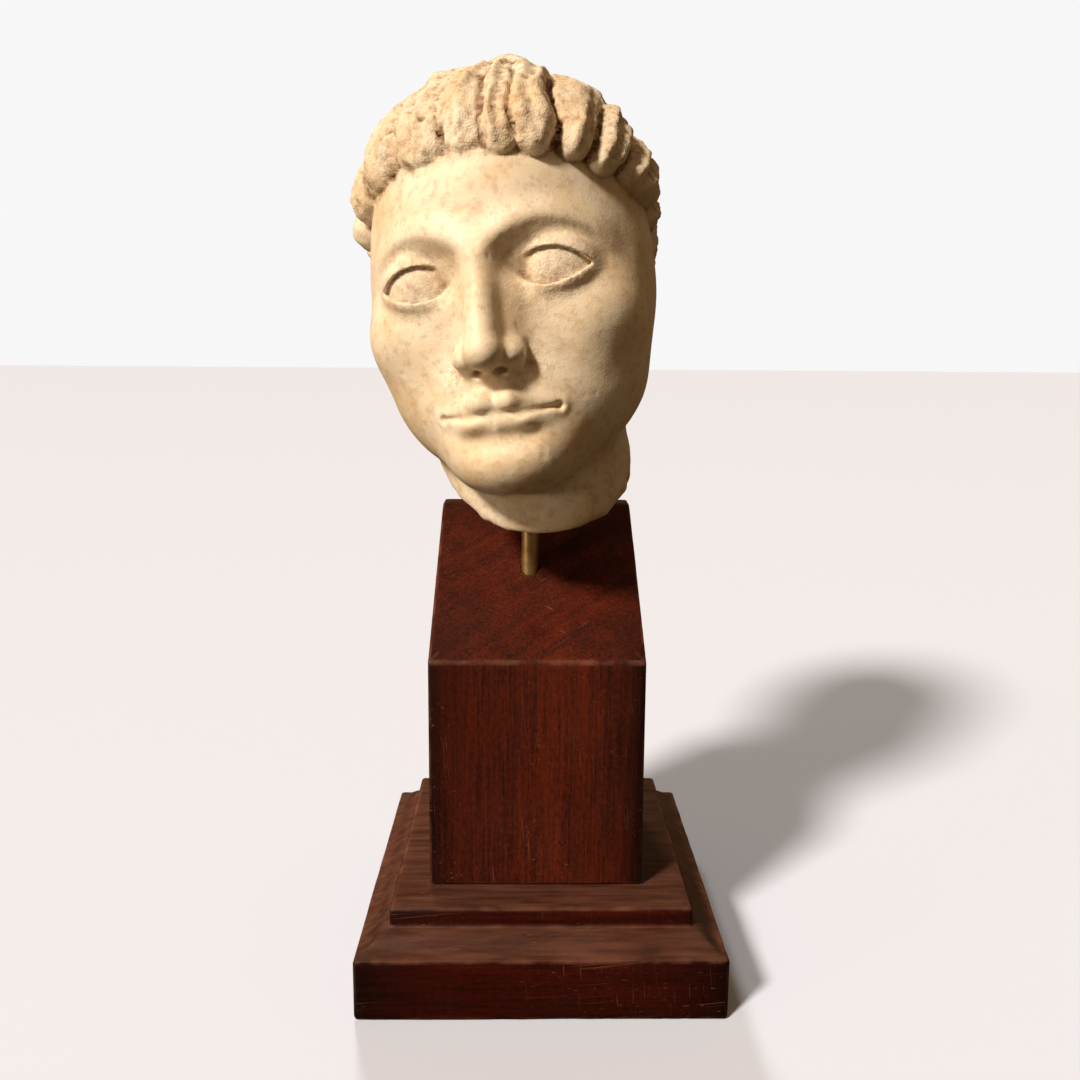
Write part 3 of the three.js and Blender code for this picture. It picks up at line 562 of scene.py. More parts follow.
# Rows of locks behind: where each starts and ends down from the crown, and how many there are
BACK_ROWS = [(4, 58, 9), (42, 104, 15), (80, 142, 17)]
BACK_LOCK_HEIGHT = 4.6
BACK_LOCK_UNEVEN = 0.8
BACK_REACH_UNEVEN = 7
BACK_STRAND = 0.6
BACK_SWAY = 8
BACK_ROW_SHIFT = 0.37
HAIR_FOOT = -46
HAIR_EDGE = 0.6
WORN_HOLLOW = {"around": 41, "down": 48, "depth": 4.2, "size": 13}
NECK = {"side": -3, "back": 4, "radii": (37.5, 38), "top": -20, "level": -60}
CHIN_CHIP = np.array([4, -51, -70.5])
BREAK = {"low": -95, "front": -33, "back": 0.62, "left": 0.14, "bowl": 0.004, "middle": 6}


def join(a, b, softness):
    """Two solids as one, with a soft fillet where they meet."""
    h = np.clip(0.5 + 0.5 * (b - a) / softness, 0, 1)
    return b + (a - b) * h - softness * h * (1 - h)


def keep_inside(a, b, softness):
    """What two solids share, with a soft arris where they meet."""
    return -join(-a, -b, softness)


def ball(p, centre, radii):
    """Distance from points to a ball stretched to three radii."""
    q = p - np.array(centre, float)
    radii = np.array(radii, float)
    near = np.sqrt(((q / radii) ** 2).sum(1))
    steep = np.sqrt(((q / radii ** 2) ** 2).sum(1))
    return near * (near - 1) / np.maximum(steep, 1e-9)


def bar(p, ends, radii):
    """Distance from points to a round bar that tapers from one end to the other."""
    start = np.array(ends[0], float)
    run = np.array(ends[1], float) - start
    q = p - start
    h = np.clip(q @ run / (run @ run), 0, 1)
    return np.sqrt(((q - h[:, None] * run) ** 2).sum(1)) - (radii[0] + (radii[1] - radii[0]) * h)


def carve(distance, half, stroke):
    """One stroke, added to the stone or cut from it."""
    kind, place, radii, softness = stroke
    own = ball(half, place, radii) if "ball" in kind else bar(half, place, radii)
    if kind.startswith("cut"):
        return keep_inside(distance, -own, softness)
    return join(distance, own, softness)


def brow(half):
    """Swelling over each eye, sharper below than above."""
    off = np.hypot(half[:, 0] - BROW["side"], half[:, 2] - BROW["height"]) - BROW["radius"]
    width = np.where(off > 0, BROW["above"], BROW["below"])
    place = ease(-15, -35, half[:, 1]) * ease(-4, 6, half[:, 2]) * ease(48, 38, half[:, 0])
    return BROW["swell"] * np.exp(-(off / width) ** 2) * place


def add_eye(distance, half):
    """A ball in its socket, under lids that leave an almond between two arcs."""
    offset = half - np.array(EYE["centre"])
    shell = np.sqrt((offset ** 2).sum(1))
    across, up = offset[:, 0] + LIDS["shift"], offset[:, 2]
    upper = (EYE["half"] ** 2 + EYE["upper"] ** 2) / (2 * EYE["upper"])
    lower = (EYE["half"] ** 2 + EYE["lower"] ** 2) / (2 * EYE["lower"])
    almond = keep_inside(
        np.hypot(across, up - (EYE["upper"] - upper)) - upper,
        np.hypot(across, up - (lower - EYE["lower"])) - lower, 1,
    )
    width = 2 + 0.5 * np.tanh(up / 2)
    rim = keep_inside(shell - (EYE["radius"] + LIDS["rim"]), np.abs(almond - width) - width, 1)
    lids = join(shell - (EYE["radius"] + LIDS["lift"]), rim, 1)
    lids = keep_inside(lids, -almond, 0.7)
    lids = keep_inside(lids, half[:, 1] - LIDS["back"], 1)
    return join(join(distance, lids, 2.2), shell - EYE["radius"], 0.5)


def add_neck(distance, p):
    """The neck stands upright under the leaning head."""
    upright = p[:, 0] + math.tan(-HEAD_ROLL) * (p[:, 2] - NECK["level"]) - NECK["side"]
    level_points = np.column_stack([upright, p[:, 1] - NECK["back"], np.zeros(len(p))])
    own = ball(level_points, (0, 0, 0), (*NECK["radii"], 1e3))
    softness = 5 + 14 * ease(-5, 35, p[:, 1])
    return join(distance, keep_inside(own, p[:, 2] - NECK["top"], 10), softness)


def add_ear(distance, p, ear):
    """The worn remains of an ear: a low disc with a soft rim."""
    side, lift, back, height = ear
    y, z = p[:, 1] - back, p[:, 2] - height
    along = y * math.cos(EAR_TILT) - z * math.sin(EAR_TILT)
    up = y * math.sin(EAR_TILT) + z * math.cos(EAR_TILT)
    ring = np.hypot(along / EAR_RADII[0], up / EAR_RADII[1])
    shell = ball(p * (side, 1, 1), (0, 2, 0), (50.5 + lift, 60, 60))
    rim = 0.9 * np.exp(-((ring - 0.78) / 0.14) ** 2)
    bowl = 1.6 * np.exp(-(np.hypot(along + 1, up) / 7) ** 2)
    disc = keep_inside(shell, (ring - 1) * 12, 4) - rim + bowl
    return join(distance, keep_inside(disc, HAIR_RADII[0] / 2 - side * p[:, 0], 1), 2.5)


def hairline(around):
    """How far from the crown the hair ends, by angle around the crown, in degrees."""
    a = np.abs(around)
    temple = -1.5 * ease(10, 40, a) - 3.5 * ease(40, 78, a)
    return 98 + temple + 7 * ease(84, 104, a) + 32 * ease(106, 128, a)


def rounded_step(inside, length):
    """A rise like a quarter of a circle, from nothing at the edge."""
    return np.sqrt(np.clip(1 - np.clip(1 - inside / length, 0, 1) ** 2, 0, 1)) * (inside > 0)


def comb(around, down):
    """Where a lock passes the hairline: the locks on the right sweep round to the crown."""
    sweep = SWEEP["right"] * ease(10, 80, around) - SWEEP["left"] * ease(0, -15, around)
    wave = sum(height * np.sin(down / length + around * shift) for height, length, shift in WAVES)
    return around - sweep * (SWEEP["end"] - down) / SWEEP["over"] + wave * ease(100, 85, down)


def front_locks(around, down):
    """Height of the row of thick locks over the forehead."""
    combed = comb(around, down)
    which = np.clip(np.searchsorted(LOCK_EDGES, combed) - 1, 0, len(FRONT_LOCKS) - 1)
    width, height, hang, rise, _ = FRONT_LOCKS[which].T
    across = np.clip(2 * (combed - LOCK_EDGES[which]) / width - 1, -1, 1)
    held = (combed > LOCK_EDGES[0]) & (combed < LOCK_EDGES[-1])
    groove = GROOVES[which] + (GROOVES[which + 1] - GROOVES[which]) * (across + 1) / 2
    dome = np.sqrt(np.clip(1 - np.abs(across) ** (2.2 + width * 0.04), 0, 1))
    section = groove + (1 - groove) * dome
    middle = LOCK_EDGES[which] + width / 2
    end = hairline(middle) * 0.6 + hairline(combed) * 0.4 + hang
    inside = end - down - 4.5 * across ** 2 * (1 - groove * 0.6)
    back = 1 - ease(FRONT_LOCK_LENGTH - FRONT_LOCK_TAIL, FRONT_LOCK_LENGTH, inside)
    lower = 0.7 + 0.3 * ease(50, 82, down)
    strands = np.cos(across * math.pi * (0.9 + width * 0.07) + which * 2.1 + (down - 80) * 0.035)
    strand = FRONT_STRAND * strands * (1 - across ** 2)
    return np.where(held, (height * lower * section + strand) * rounded_step(inside, rise) * back, 0)


def back_locks(around, down):
    """Height of the rows of shorter locks behind, each laid over the next."""
    total = np.zeros_like(around)
    for number, (start, end, count) in enumerate(BACK_ROWS):
        along = (down - start) / (end - start)
        sway = -BACK_SWAY if number % 2 else BACK_SWAY
        bend = sway * np.sin(along * 4.4 + around * 0.02) * 60 / (down + 30)
        bend = bend + 3 * np.sin(around * 0.07 + number)
        place = (around + bend) / 360 * count + BACK_ROW_SHIFT * number
        turn = np.floor(place)
        across = 2 * (place - turn) - 1
        uneven = np.sin(turn * 12.9898 + number * 4.1)
        reach = along + BACK_REACH_UNEVEN * uneven / (end - start)
        dome = 1 - across ** 2
        tip = ease(0, 0.16, 1 - 0.3 * np.abs(across) ** 1.6 - reach)
        strand = BACK_STRAND * np.cos(across * math.pi * 1.7 + uneven * 2 + along * 2) * dome
        height = BACK_LOCK_HEIGHT + BACK_LOCK_UNEVEN * uneven + strand
        lock = dome * tip * ease(0, 0.3, reach) * height
        total = np.maximum(total, np.where(reach > 0, lock, 0))
    return total


def hair_angles(p):
    """Angle around the crown from the face, and angle down from the crown, in degrees."""
    q = p - HAIR_CENTRE
    size = np.maximum(np.sqrt((q ** 2).sum(1)), 1e-6)
    down = np.degrees(np.arccos(np.clip(q @ CROWN / size, -1, 1)))
    around = np.degrees(np.arctan2(q[:, 0], q @ TO_FACE))
    return around, down


def add_hair(distance, p):
    """Locks combed from the crown, thick in front and low behind."""
    around, down = hair_angles(p)
    line = hairline(around)
    edge = rounded_step(line - down, 6)
    sideways = 30 * ease(84, 110, np.abs(around))
    behind = (2 + back_locks(around, down)) * edge * ease(14, 44, line - down + sideways)
    off = np.hypot(around - WORN_HOLLOW["around"], down - WORN_HOLLOW["down"]) / WORN_HOLLOW["size"]
    relief = np.maximum(np.maximum(front_locks(around, down), behind), HAIR_EDGE * edge)
    relief = relief - WORN_HOLLOW["depth"] * np.exp(-off ** 2)
    mass = ball(p, HAIR_CENTRE, HAIR_RADII) - relief
    return join(distance, keep_inside(mass, HAIR_FOOT - p[:, 2], 3), 0.8)


def above_break(p):
    """How high each point lies over the break, lowest in front and rising to the back and left."""
    x, y, z = p.T
    tilt = BREAK["back"] * (y - BREAK["front"]) - BREAK["left"] * x
    return z - BREAK["low"] - tilt - BREAK["bowl"] * (x - BREAK["middle"]) ** 2


def cut_break(distance, p):
    """The neck is broken off, a little unevenly."""
    uneven = 1.2 * np.sin(p[:, 0] * 0.11 + 1) + 0.8 * np.sin(p[:, 1] * 0.16)
    below = (uneven - above_break(p)) / math.hypot(1, BREAK["back"])
    return keep_inside(distance, below, 6)


def head_distance(p):
    """Distance from points to the whole head, below zero inside the stone."""
    half = p * (1, 1, 1)
    half[:, 0] = np.abs(half[:, 0])
    distance = ball(p, *SKULL)
    for stroke in MASSES:
        distance = carve(distance, half, stroke)
    distance = carve(distance - brow(half), half, SOCKET)
    distance = add_eye(distance, half)
    for stroke in NOSE + MOUTH:
        distance = carve(distance, half, stroke)
    distance = add_neck(distance, p)
    for ear in EARS:
        distance = add_ear(distance, p, ear)
    return cut_break(add_hair(distance, p), p)


# How the head sits: turned, scaled, and set on the rod so that its socket fits the rod's end
about_y = np.array([
    [math.cos(HEAD_ROLL), 0, math.sin(HEAD_ROLL)],
    [0, 1, 0],
    [-math.sin(HEAD_ROLL), 0, math.cos(HEAD_ROLL)],
])
about_z = np.array([
    [math.cos(HEAD_YAW), -math.sin(HEAD_YAW), 0],
    [math.sin(HEAD_YAW), math.cos(HEAD_YAW), 0],
    [0, 0, 1],
])
head_turn = about_y @ about_z * UNIT * MM
head_place = np.array([
    rod_x + HEAD_SIDE_OFFSET * HEAD_HEIGHT * MM, rod_y + HEAD_BACK_OFFSET * HEAD_HEIGHT * MM, 0,
])
# The rod's middle line is followed up to where it enters the stone
climb = np.arange(-HEAD_HEIGHT, 0, CLIMB_STEP) * MM
rod_line = np.column_stack([
    np.full(len(climb), rod_x - head_place[0]), np.full(len(climb), rod_y - head_place[1]), climb,
])
in_stone = head_distance(rod_line @ np.linalg.inv(head_turn).T) < 0
neck_end = rod_high.z + SOCKET_GAP - SOCKET_IN_HEAD * MM
head_place[2] = neck_end - climb[np.argmax(in_stone)]


def head_with_socket(p):
    """The head with the blind hole that the rod stands in."""
    world = p @ head_turn.T + head_place
    hole = (np.hypot(world[:, 0] - rod_x, world[:, 1] - rod_y) - drill_radius) / (UNIT * MM)
    ceiling = (world[:, 2] - rod_high.z - SOCKET_GAP) / (UNIT * MM)
    return np.maximum(head_distance(p), -np.maximum(hole, ceiling))


# The surface is found on a grid that is finer towards the face, first in large cells, and then
# in small ones only where the surface passes
GRID_STEP = 1.05
GRID_LOW = np.array([-80, -82, -110])
GRID_HIGH = np.array([80, 76, 100])
COARSE = 5
NEAR_SURFACE = 1.7
POINTS_AT_ONCE = 200000
FRONT_FINENESS = 0.26
FRONT_DEPTH = 45
JUST_INSIDE = -0.05
STEEP_ENOUGH = 0.2
LONGEST_MOVE = 0.6


def spread(p):
    """Widens the grid towards the back of the head, so that the face has the finer cells."""
    size = 1 + FRONT_FINENESS * np.tanh(p[:, 1] / FRONT_DEPTH)
    return p * np.column_stack([size, np.ones(len(p)), size])


def fill_lone_corners(grid):
    """Takes a corner that is alone on its side of the surface to the other side, as it would
    leave a loose crumb or a bubble."""
    inner = grid[1:-1, 1:-1, 1:-1]
    beside = np.stack([
        grid[:-2, 1:-1, 1:-1], grid[2:, 1:-1, 1:-1], grid[1:-1, :-2, 1:-1],
        grid[1:-1, 2:, 1:-1], grid[1:-1, 1:-1, :-2], grid[1:-1, 1:-1, 2:],
    ])
    lone = ((beside < 0) != (inner < 0)).all(0) & ~np.isnan(beside).any(0)
    inner[lone] = beside.mean(0)[lone]


def close_cracks(grid):
    """Fills the stone in where two folds of the surface would touch across one face of a cell."""
    steps = np.eye(3, dtype=int)
    mended = True
    while mended:
        mended = False
        for one, two in ((steps[0], steps[1]), (steps[1], steps[2]), (steps[2], steps[0])):
            reach = one + two
            a, b, c, d = [
                grid[tuple(slice(o, n - r + o) for o, n, r in zip(offset, grid.shape, reach))]
                for offset in (one * 0, one, reach, two)
            ]
            touching = ((a < 0) == (c < 0)) & ((b < 0) == (d < 0)) & ((a < 0) != (b < 0))
            places = np.argwhere(touching & ~np.isnan(a + b + c + d))
            if len(places) == 0:
                continue
            face = np.stack([places, places + one, places + reach, places + two], 1)
            values = grid[tuple(np.moveaxis(face, 2, 0))]
            values[values < 0] = np.inf
            chosen = face[np.arange(len(face)), values.argmin(1)]
            grid[tuple(chosen.T)] = JUST_INSIDE
            mended = True


def surface(distance, low, high, step):
    """Points and four-sided faces of the surface, one point in each cell that it crosses."""
    cells = np.ceil((high - low) / (step * COARSE)).astype(int)
    axes = [low[i] + np.arange(cells[i] + 1) * step * COARSE for i in range(3)]
    coarse = np.stack(np.meshgrid(*axes, indexing="ij"), -1)
    value = distance(coarse.reshape(-1, 3)).reshape(coarse.shape[:3])
    corners = [(a, b, c) for a in (0, 1) for b in (0, 1) for c in (0, 1)]

    def at_corner(grid, corner):
        """The values at one corner of every cell."""
        return grid[tuple(slice(o, grid.shape[i] - 1 + o) for i, o in enumerate(corner))]

    nearest = np.minimum.reduce([np.abs(at_corner(value, c)) for c in corners])
    size = cells * COARSE + 1
    wanted = np.zeros(size, bool)
    for x, y, z in np.argwhere(nearest < step * COARSE * NEAR_SURFACE) * COARSE:
        wanted[x:x + COARSE + 1, y:y + COARSE + 1, z:z + COARSE + 1] = True
    places = np.argwhere(wanted)
    found = np.empty(len(places), np.float32)
    for start in range(0, len(places), POINTS_AT_ONCE):
        some = slice(start, start + POINTS_AT_ONCE)
        found[some] = distance(low + places[some] * step)
    fine = np.full(size, np.nan, np.float32)
    fine[wanted] = found
    fill_lone_corners(fine)
    close_cracks(fine)
    fill_lone_corners(fine)
    corner_values = np.stack([at_corner(fine, c) for c in corners], -1)
    crossed = (corner_values < 0).any(-1) & (corner_values >= 0).any(-1)
    crossed &= ~np.isnan(corner_values).any(-1)
    home = np.argwhere(crossed)
    corner_values = corner_values[crossed]
    total, count = np.zeros((len(home), 3)), np.zeros(len(home))
    offsets = np.array(corners, float)
    for a in range(8):
        for b in range(a + 1, 8):
            if np.abs(offsets[a] - offsets[b]).sum() == 1:
                first, second = corner_values[:, a], corner_values[:, b]
                cross = (first < 0) != (second < 0)
                share = np.where(cross, first / np.where(cross, first - second, 1), 0)
                point = offsets[a] + share[:, None] * (offsets[b] - offsets[a])
                total += np.where(cross[:, None], point, 0)
                count += cross
    points = low + (home + total / count[:, None]) * step
    index = np.full(crossed.shape, -1)
    index[crossed] = np.arange(len(home))
    faces = []
    for axis in range(3):
        here = tuple(slice(0, -1) if i == axis else slice(None) for i in range(3))
        there = tuple(slice(1, None) if i == axis else slice(None) for i in range(3))
        known = ~np.isnan(fine[here]) & ~np.isnan(fine[there])
        cross = known & ((fine[here] < 0) != (fine[there] < 0))
        edges = np.argwhere(cross)
        outward = fine[here][cross] < 0
        side, other = (axis + 1) % 3, (axis + 2) % 3
        quad = []
        for a, b in ((1, 1), (0, 1), (0, 0), (1, 0)):
            cell = edges.copy()
            cell[:, side] -= a
            cell[:, other] -= b
            quad.append(index[cell[:, 0], cell[:, 1], cell[:, 2]])
        quad = np.stack(quad, 1)
        quad[~outward] = quad[~outward][:, ::-1]
        faces.append(quad)
    return points, np.concatenate(faces)


def slope_of(distance, p, reach=0.05):
    """The distance at each point and the direction in which it grows."""
    here = distance(p)
    grown = [distance(p + np.eye(3)[i] * reach) - here for i in range(3)]
    return here, np.stack(grown, 1) / reach


head_points, head_faces = surface(
    lambda p: head_with_socket(spread(p)), GRID_LOW, GRID_HIGH, GRID_STEP
)
head_points = spread(head_points)
for _ in range(2):
    off, direction = slope_of(head_with_socket, head_points)
    steep = np.maximum((direction ** 2).sum(1), STEEP_ENOUGH)
    head_points = head_points - direction * np.clip(off / steep, -LONGEST_MOVE, LONGEST_MOVE)[:, None]
_, direction = slope_of(head_with_socket, head_points, 0.3)
outward = direction / np.maximum(np.sqrt((direction ** 2).sum(1)), 1e-6)[:, None]

# Age: the hair is rough and pitted, the break is coarse, and the face nearly smooth. Each kind of
# surface stands and sinks by so many units with the lumps, the grit and the fine grit.
LUMP_SIZE = 8
GRIT_SIZE = 3.2
FINE_GRIT_SIZE = 1.6
HAIR_ROUGHNESS = (0.6, 0.5, 0.32)
BREAK_ROUGHNESS = (0.9, 0.5, 0)
SKIN_ROUGHNESS = (0.10, 0.03, 0.02)
BRUISE_ROUGHNESS = (0, 0.12, 0.12)
LOCK_PITS = {"around": -17, "down": 89, "depth": 2.2}
PIT_SIZE = 3.4
HAIR_PIT_DEPTH = 0.5
SKIN_PIT_SIZE = 3
SKIN_PIT_DEPTH = 1.2
CHIP_SIZE = 2.4
CHIP_DEPTH = 1.1
LOST_SKIN = 0.35
SOCKET_RIM = 1.15

around, down = hair_angles(head_points)
x, y, z = head_points.T
in_hair = ease(-3, 3, hairline(around) - down) * ease(-50, -44, z)
by_eye = np.exp(-(np.hypot(np.abs(x) - EYE["centre"][0], z) / 13) ** 2) * ease(-25, -38, y)
by_nose = np.exp(-(np.hypot(np.abs(x) - 15, z + 30) / 7) ** 2) * ease(-35, -45, y)
on_break = ease(5, 1.5, above_break(head_points))
from_pits = np.hypot(around - LOCK_PITS["around"], down - LOCK_PITS["down"])
pitted_lock = ease(17, 9, from_pits) * in_hair
rough = np.clip(in_hair + on_break + 0.8 * by_eye + 0.5 * by_nose, 0, 1)
lumps = mottle(head_points, LUMP_SIZE, 1)
grit = mottle(head_points, GRIT_SIZE, 2)
fine_grit = mottle(head_points, FINE_GRIT_SIZE, 5)
erode = np.zeros(len(head_points))
for share, (by_lumps, by_grit, by_fine_grit) in (
    (in_hair, HAIR_ROUGHNESS), (on_break, BREAK_ROUGHNESS),
    (1 - rough, SKIN_ROUGHNESS), (by_eye + by_nose, BRUISE_ROUGHNESS),
):
    erode += share * (by_lumps * lumps + by_grit * grit + by_fine_grit * fine_grit)
pits = np.clip(mottle(head_points, PIT_SIZE, 7) - 0.35, 0, 1)
erode -= pits * (LOCK_PITS["depth"] * pitted_lock + HAIR_PIT_DEPTH * in_hair)
skin_pits = np.clip(mottle(head_points, SKIN_PIT_SIZE, 8) - 0.72, 0, 1)
chip = np.exp(-(np.sqrt(((head_points - CHIN_CHIP) ** 2).sum(1)) / CHIP_SIZE) ** 2)
erode -= SKIN_PIT_DEPTH * skin_pits * (1 - rough) + LOST_SKIN * rough + CHIP_DEPTH * chip
from_rod = (head_points @ head_turn.T + head_place)[:, :2] - (rod_x, rod_y)
erode[np.hypot(*from_rod.T) < drill_radius * SOCKET_RIM] = 0
head_points = head_points + outward * erode[:, None]

# Dirt gathers where the surface lies below its own smoothed shape
edges = np.concatenate([head_faces[:, [i, (i + 1) % 4]] for i in range(4)])
neighbours = np.bincount(edges[:, 0], minlength=len(head_points))


def relaxed(points, rounds):
    """Each point moved to the mean of its neighbours, again and again."""
    for _ in range(rounds):
        points = np.stack([
            np.bincount(edges[:, 0], points[edges[:, 1], axis], len(points)) for axis in range(3)
        ], 1) / neighbours[:, None]
    return points


hollow = ((relaxed(head_points, 25) - head_points) * outward).sum(1)
fine_hollow = ((relaxed(head_points, 4) - head_points) * outward).sum(1)
dirt_and_shade = 0.5 * ease(0.1, 1.6, hollow) + 0.45 * ease(0.06, 0.5, fine_hollow)
dirt_and_shade = dirt_and_shade * (0.35 + 0.65 * rough) + 0.22 * by_eye + 0.2 * by_nose * ease(-0.2, 0.4, lumps)
# Painted shade darkens the head below the mouth, most at the chin and neck, and dirt lies a little over
# all the hair
dirt_and_shade = np.clip(dirt_and_shade + 0.16 * ease(-52, -74, z) + 0.14 * in_hair, 0, 1)
bruise = 0.8 * by_eye + 0.9 * by_nose + chip

# Marble: calcite crystals sparkle in the rough hair and the rubbed skin has a soft shine. Iron
# in old dirt stains it cream to tan, in clouds a centimetre or two across. Real crystals are half
# as wide as these, which are drawn coarser to show.
MARBLE = "#F4E3C5"
WARM_MARBLE = "#E8CFA9"
PALE_MARBLE = "#F9EDD6"
BRUISED_MARBLE = "#FFF7E8"
IRON_STAIN = "#B98D5E"
DIRT_AND_SHADE_BROWN = "#7A5230"
CLOUD_SIZE = 18.18 * MM
SPOT_SIZE = 3.03 * MM
GRAIN_SIZE = 1.43 * MM
CRYSTAL_SIZE = 0.667 * MM

marble = bpy.data.materials.new("aged_marble")
marble.use_nodes = True
tree = marble.node_tree
shader = tree.nodes["Principled BSDF"]
place = add_node(tree, "TexCoord").outputs["Object"]
rough_here = add_node(tree, "Attribute", attribute_name="rough").outputs["Fac"]
dirt_and_shade_here = add_node(tree, "Attribute", attribute_name="dirt_and_shade").outputs["Fac"]
bruise_here = add_node(tree, "Attribute", attribute_name="bruise").outputs["Fac"]
clouds = add_node(
    tree, "TexNoise", {"Vector": place, "Scale": 1 / CLOUD_SIZE, "Detail": 4.0, "Roughness": 0.6}
)
spots = add_node(
    tree, "TexNoise", {"Vector": place, "Scale": 1 / SPOT_SIZE, "Detail": 4.0, "Roughness": 0.65}
)
crystals = add_node(tree, "TexVoronoi", {"Vector": place, "Scale": 1 / CRYSTAL_SIZE})
skin = add_node(
    tree, "ValToRGB", {"Fac": clouds},
    ramp=[(0.34, WARM_MARBLE), (0.5, MARBLE), (0.66, PALE_MARBLE)],
)
# Iron stains, more of them where the stone is rough
stain = add_node(tree, "MapRange", {0: spots, 1: 0.5, 2: 0.68})
stain_more = add_node(tree, "Math", {0: rough_here, 1: 0.35, 2: 0.36}, operation="MULTIPLY_ADD")
stained = add_node(tree, "Math", {0: stain, 1: stain_more}, operation="MULTIPLY")
colour = add_node(tree, "Mix", {0: stained, 6: skin, 7: linear(IRON_STAIN)}, data_type="RGBA").outputs[2]
# Bruised places show pale crushed grains
grains = add_node(tree, "TexNoise", {"Vector": place, "Scale": 1 / GRAIN_SIZE, "Detail": 2.0})
grains = add_node(tree, "MapRange", {0: grains, 1: 0.5, 2: 0.62, 3: 0.1, 4: 1.0})
bruised = add_node(tree, "Math", {0: bruise_here, 1: grains}, operation="MULTIPLY", use_clamp=True)
colour = add_node(
    tree, "Mix", {0: bruised, 6: colour, 7: linear(BRUISED_MARBLE)}, data_type="RGBA"
).outputs[2]
# Dirt and painted shade, broken up by the spots
broken_dirt_and_shade = add_node(tree, "MapRange", {0: spots, 1: 0.25, 2: 0.6, 3: 0.55, 4: 1.15})
dirt_and_shade_share = add_node(tree, "Math", {0: broken_dirt_and_shade, 1: dirt_and_shade_here}, operation="MULTIPLY", use_clamp=True)
colour = add_node(tree, "Mix", {0: dirt_and_shade_share, 6: colour, 7: linear(DIRT_AND_SHADE_BROWN)}, data_type="RGBA").outputs[2]
tree.links.new(colour, shader.inputs["Base Color"])
sheen = add_node(tree, "MapRange", {0: rough_here, 3: 0.5, 4: 0.75})
tree.links.new(sheen.outputs[0], shader.inputs["Roughness"])
grain_height = add_node(tree, "Math", {0: crystals, 1: 0.5, 2: spots}, operation="MULTIPLY_ADD")
depth = add_node(tree, "MapRange", {0: rough_here, 3: 0.22, 4: 1.0})
bump = add_node(tree, "Bump", {"Height": grain_height, "Strength": depth, "Distance": 0.35 * MM})
tree.links.new(bump.outputs[0], shader.inputs["Normal"])
shader.inputs["IOR"].default_value = 1.5
shader.inputs["Subsurface Weight"].default_value = 0.12
shader.inputs["Subsurface Radius"].default_value = (1.0, 0.6, 0.35)
shader.inputs["Subsurface Scale"].default_value = 2.5 * MM

# The mesh goes where the head is and keeps inside the solid's box
head_points = head_points @ head_turn.T + head_place
solid_low, solid_high = [np.array(corner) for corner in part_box("marble_head")]
own_low, own_high = head_points.min(0), head_points.max(0)
fit_low, fit_high = np.maximum(own_low, solid_low), np.minimum(own_high, solid_high)
head_points = fit_low + (head_points - own_low) * (fit_high - fit_low) / (own_high - own_low)
head = new_piece("carved_head", head_points, head_faces, marble)
paint(head, "rough", rough)
paint(head, "dirt_and_shade", dirt_and_shade)
paint(head, "bruise", np.clip(bruise, 0, 1))
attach(head, "root")
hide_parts("marble_head")

# Stage: a plain pale matt floor before a pale backdrop, under soft far lamps: the key from the
# upper left, one low on the left and one behind. The floor throws no light back on the object.
FLOOR_SIZE = 60
FLOOR_COLOUR = "#DEE9FF"
BACKDROP_COLOUR = "#F7F7F7"
ROOM_COLOUR = "#FFD09A"
ROOM_FRONT = 0.17
ROOM_BACK = 0.24
ROOM_BELOW = 0.35
LAMP_SPREAD = math.radians(9)

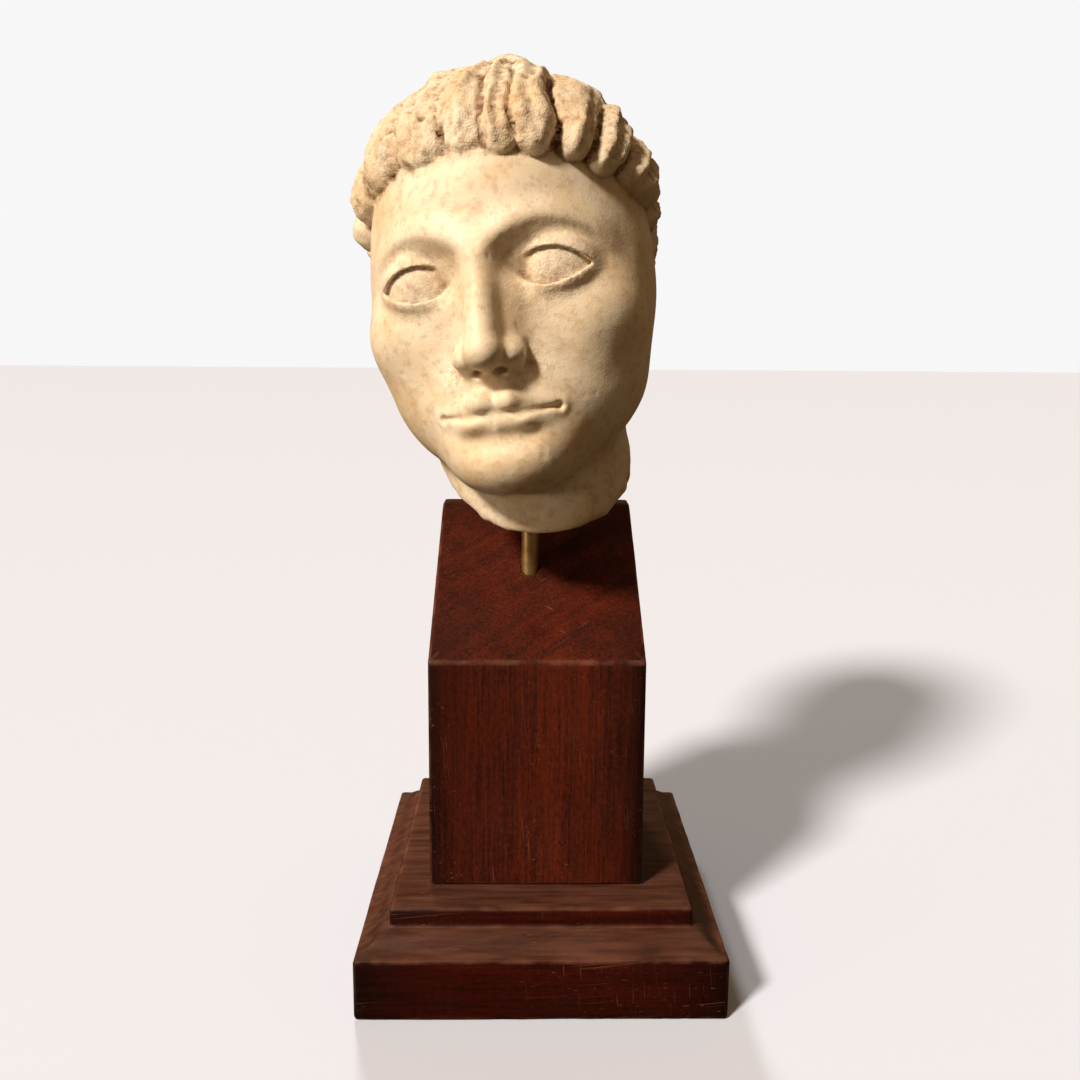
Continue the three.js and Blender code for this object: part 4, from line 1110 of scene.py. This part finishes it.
floor_material = bpy.data.materials.new("matt_floor")
floor_material.use_nodes = True
floor_shader = floor_material.node_tree.nodes["Principled BSDF"]
floor_shader.inputs["Base Color"].default_value = linear(FLOOR_COLOUR)
floor_shader.inputs["Roughness"].default_value = 0.9
floor_corners = [
    (x * FLOOR_SIZE / 2, y * FLOOR_SIZE / 2, 0) for x, y in ((-1, -1), (1, -1), (1, 1), (-1, 1))
]
floor = new_piece("floor", floor_corners, [(0, 1, 2, 3)], floor_material)
floor.visible_diffuse = False
floor.visible_glossy = False

# The room's own light is warm and dim, dimmer from below. Only the camera sees the backdrop.
world = bpy.data.worlds.new("studio")
world.use_nodes = True
tree = world.node_tree
room = tree.nodes["Background"]
room.inputs["Color"].default_value = linear(ROOM_COLOUR)
sky = add_node(tree, "TexCoord").outputs["Generated"]
sky = add_node(tree, "SeparateXYZ", {"Vector": sky})
glow = add_node(
    tree, "MapRange", {0: sky.outputs["Y"], 1: 0.3, 2: 0.95, 3: ROOM_FRONT, 4: ROOM_BACK},
    interpolation_type="SMOOTHSTEP",
)
above = add_node(tree, "MapRange", {0: sky.outputs["Z"], 1: -0.3, 2: 0.2, 3: ROOM_BELOW})
strength = add_node(tree, "Math", {0: glow, 1: above}, operation="MULTIPLY")
tree.links.new(strength.outputs[0], room.inputs["Strength"])
backdrop = add_node(tree, "Background", {"Color": linear(BACKDROP_COLOUR), "Strength": 1.0})
seen = add_node(tree, "LightPath").outputs["Is Camera Ray"]
shown = add_node(tree, "MixShader", {0: seen, 1: room, 2: backdrop})
tree.links.new(shown.outputs[0], tree.nodes["World Output"].inputs["Surface"])
bpy.context.scene.world = world
bpy.context.scene.view_settings.view_transform = "Standard"


def far_light(name, place, power, colour):
    """A far studio lamp, large enough for soft shadows, that lights the whole floor evenly."""
    data = bpy.data.lights.new(name, "SUN")
    data.energy = power
    data.angle = LAMP_SPREAD
    data.color = linear(colour)[:3]
    lamp = bpy.data.objects.new(name, data)
    lamp.rotation_euler = (-Vector(place)).to_track_quat("-Z", "Y").to_euler()
    bpy.context.scene.collection.objects.link(lamp)
    return lamp


far_light("key", (-0.88, -0.9, 1.0), 4.1, "#FFEEDA")
far_light("low", (-0.9, -0.5, 0.04), 0.8, "#FFE9CC")
back_light = far_light("back", (-0.3, 1.2, 0.8), 1.5, "#FFF4E6")
back_light.visible_glossy = False
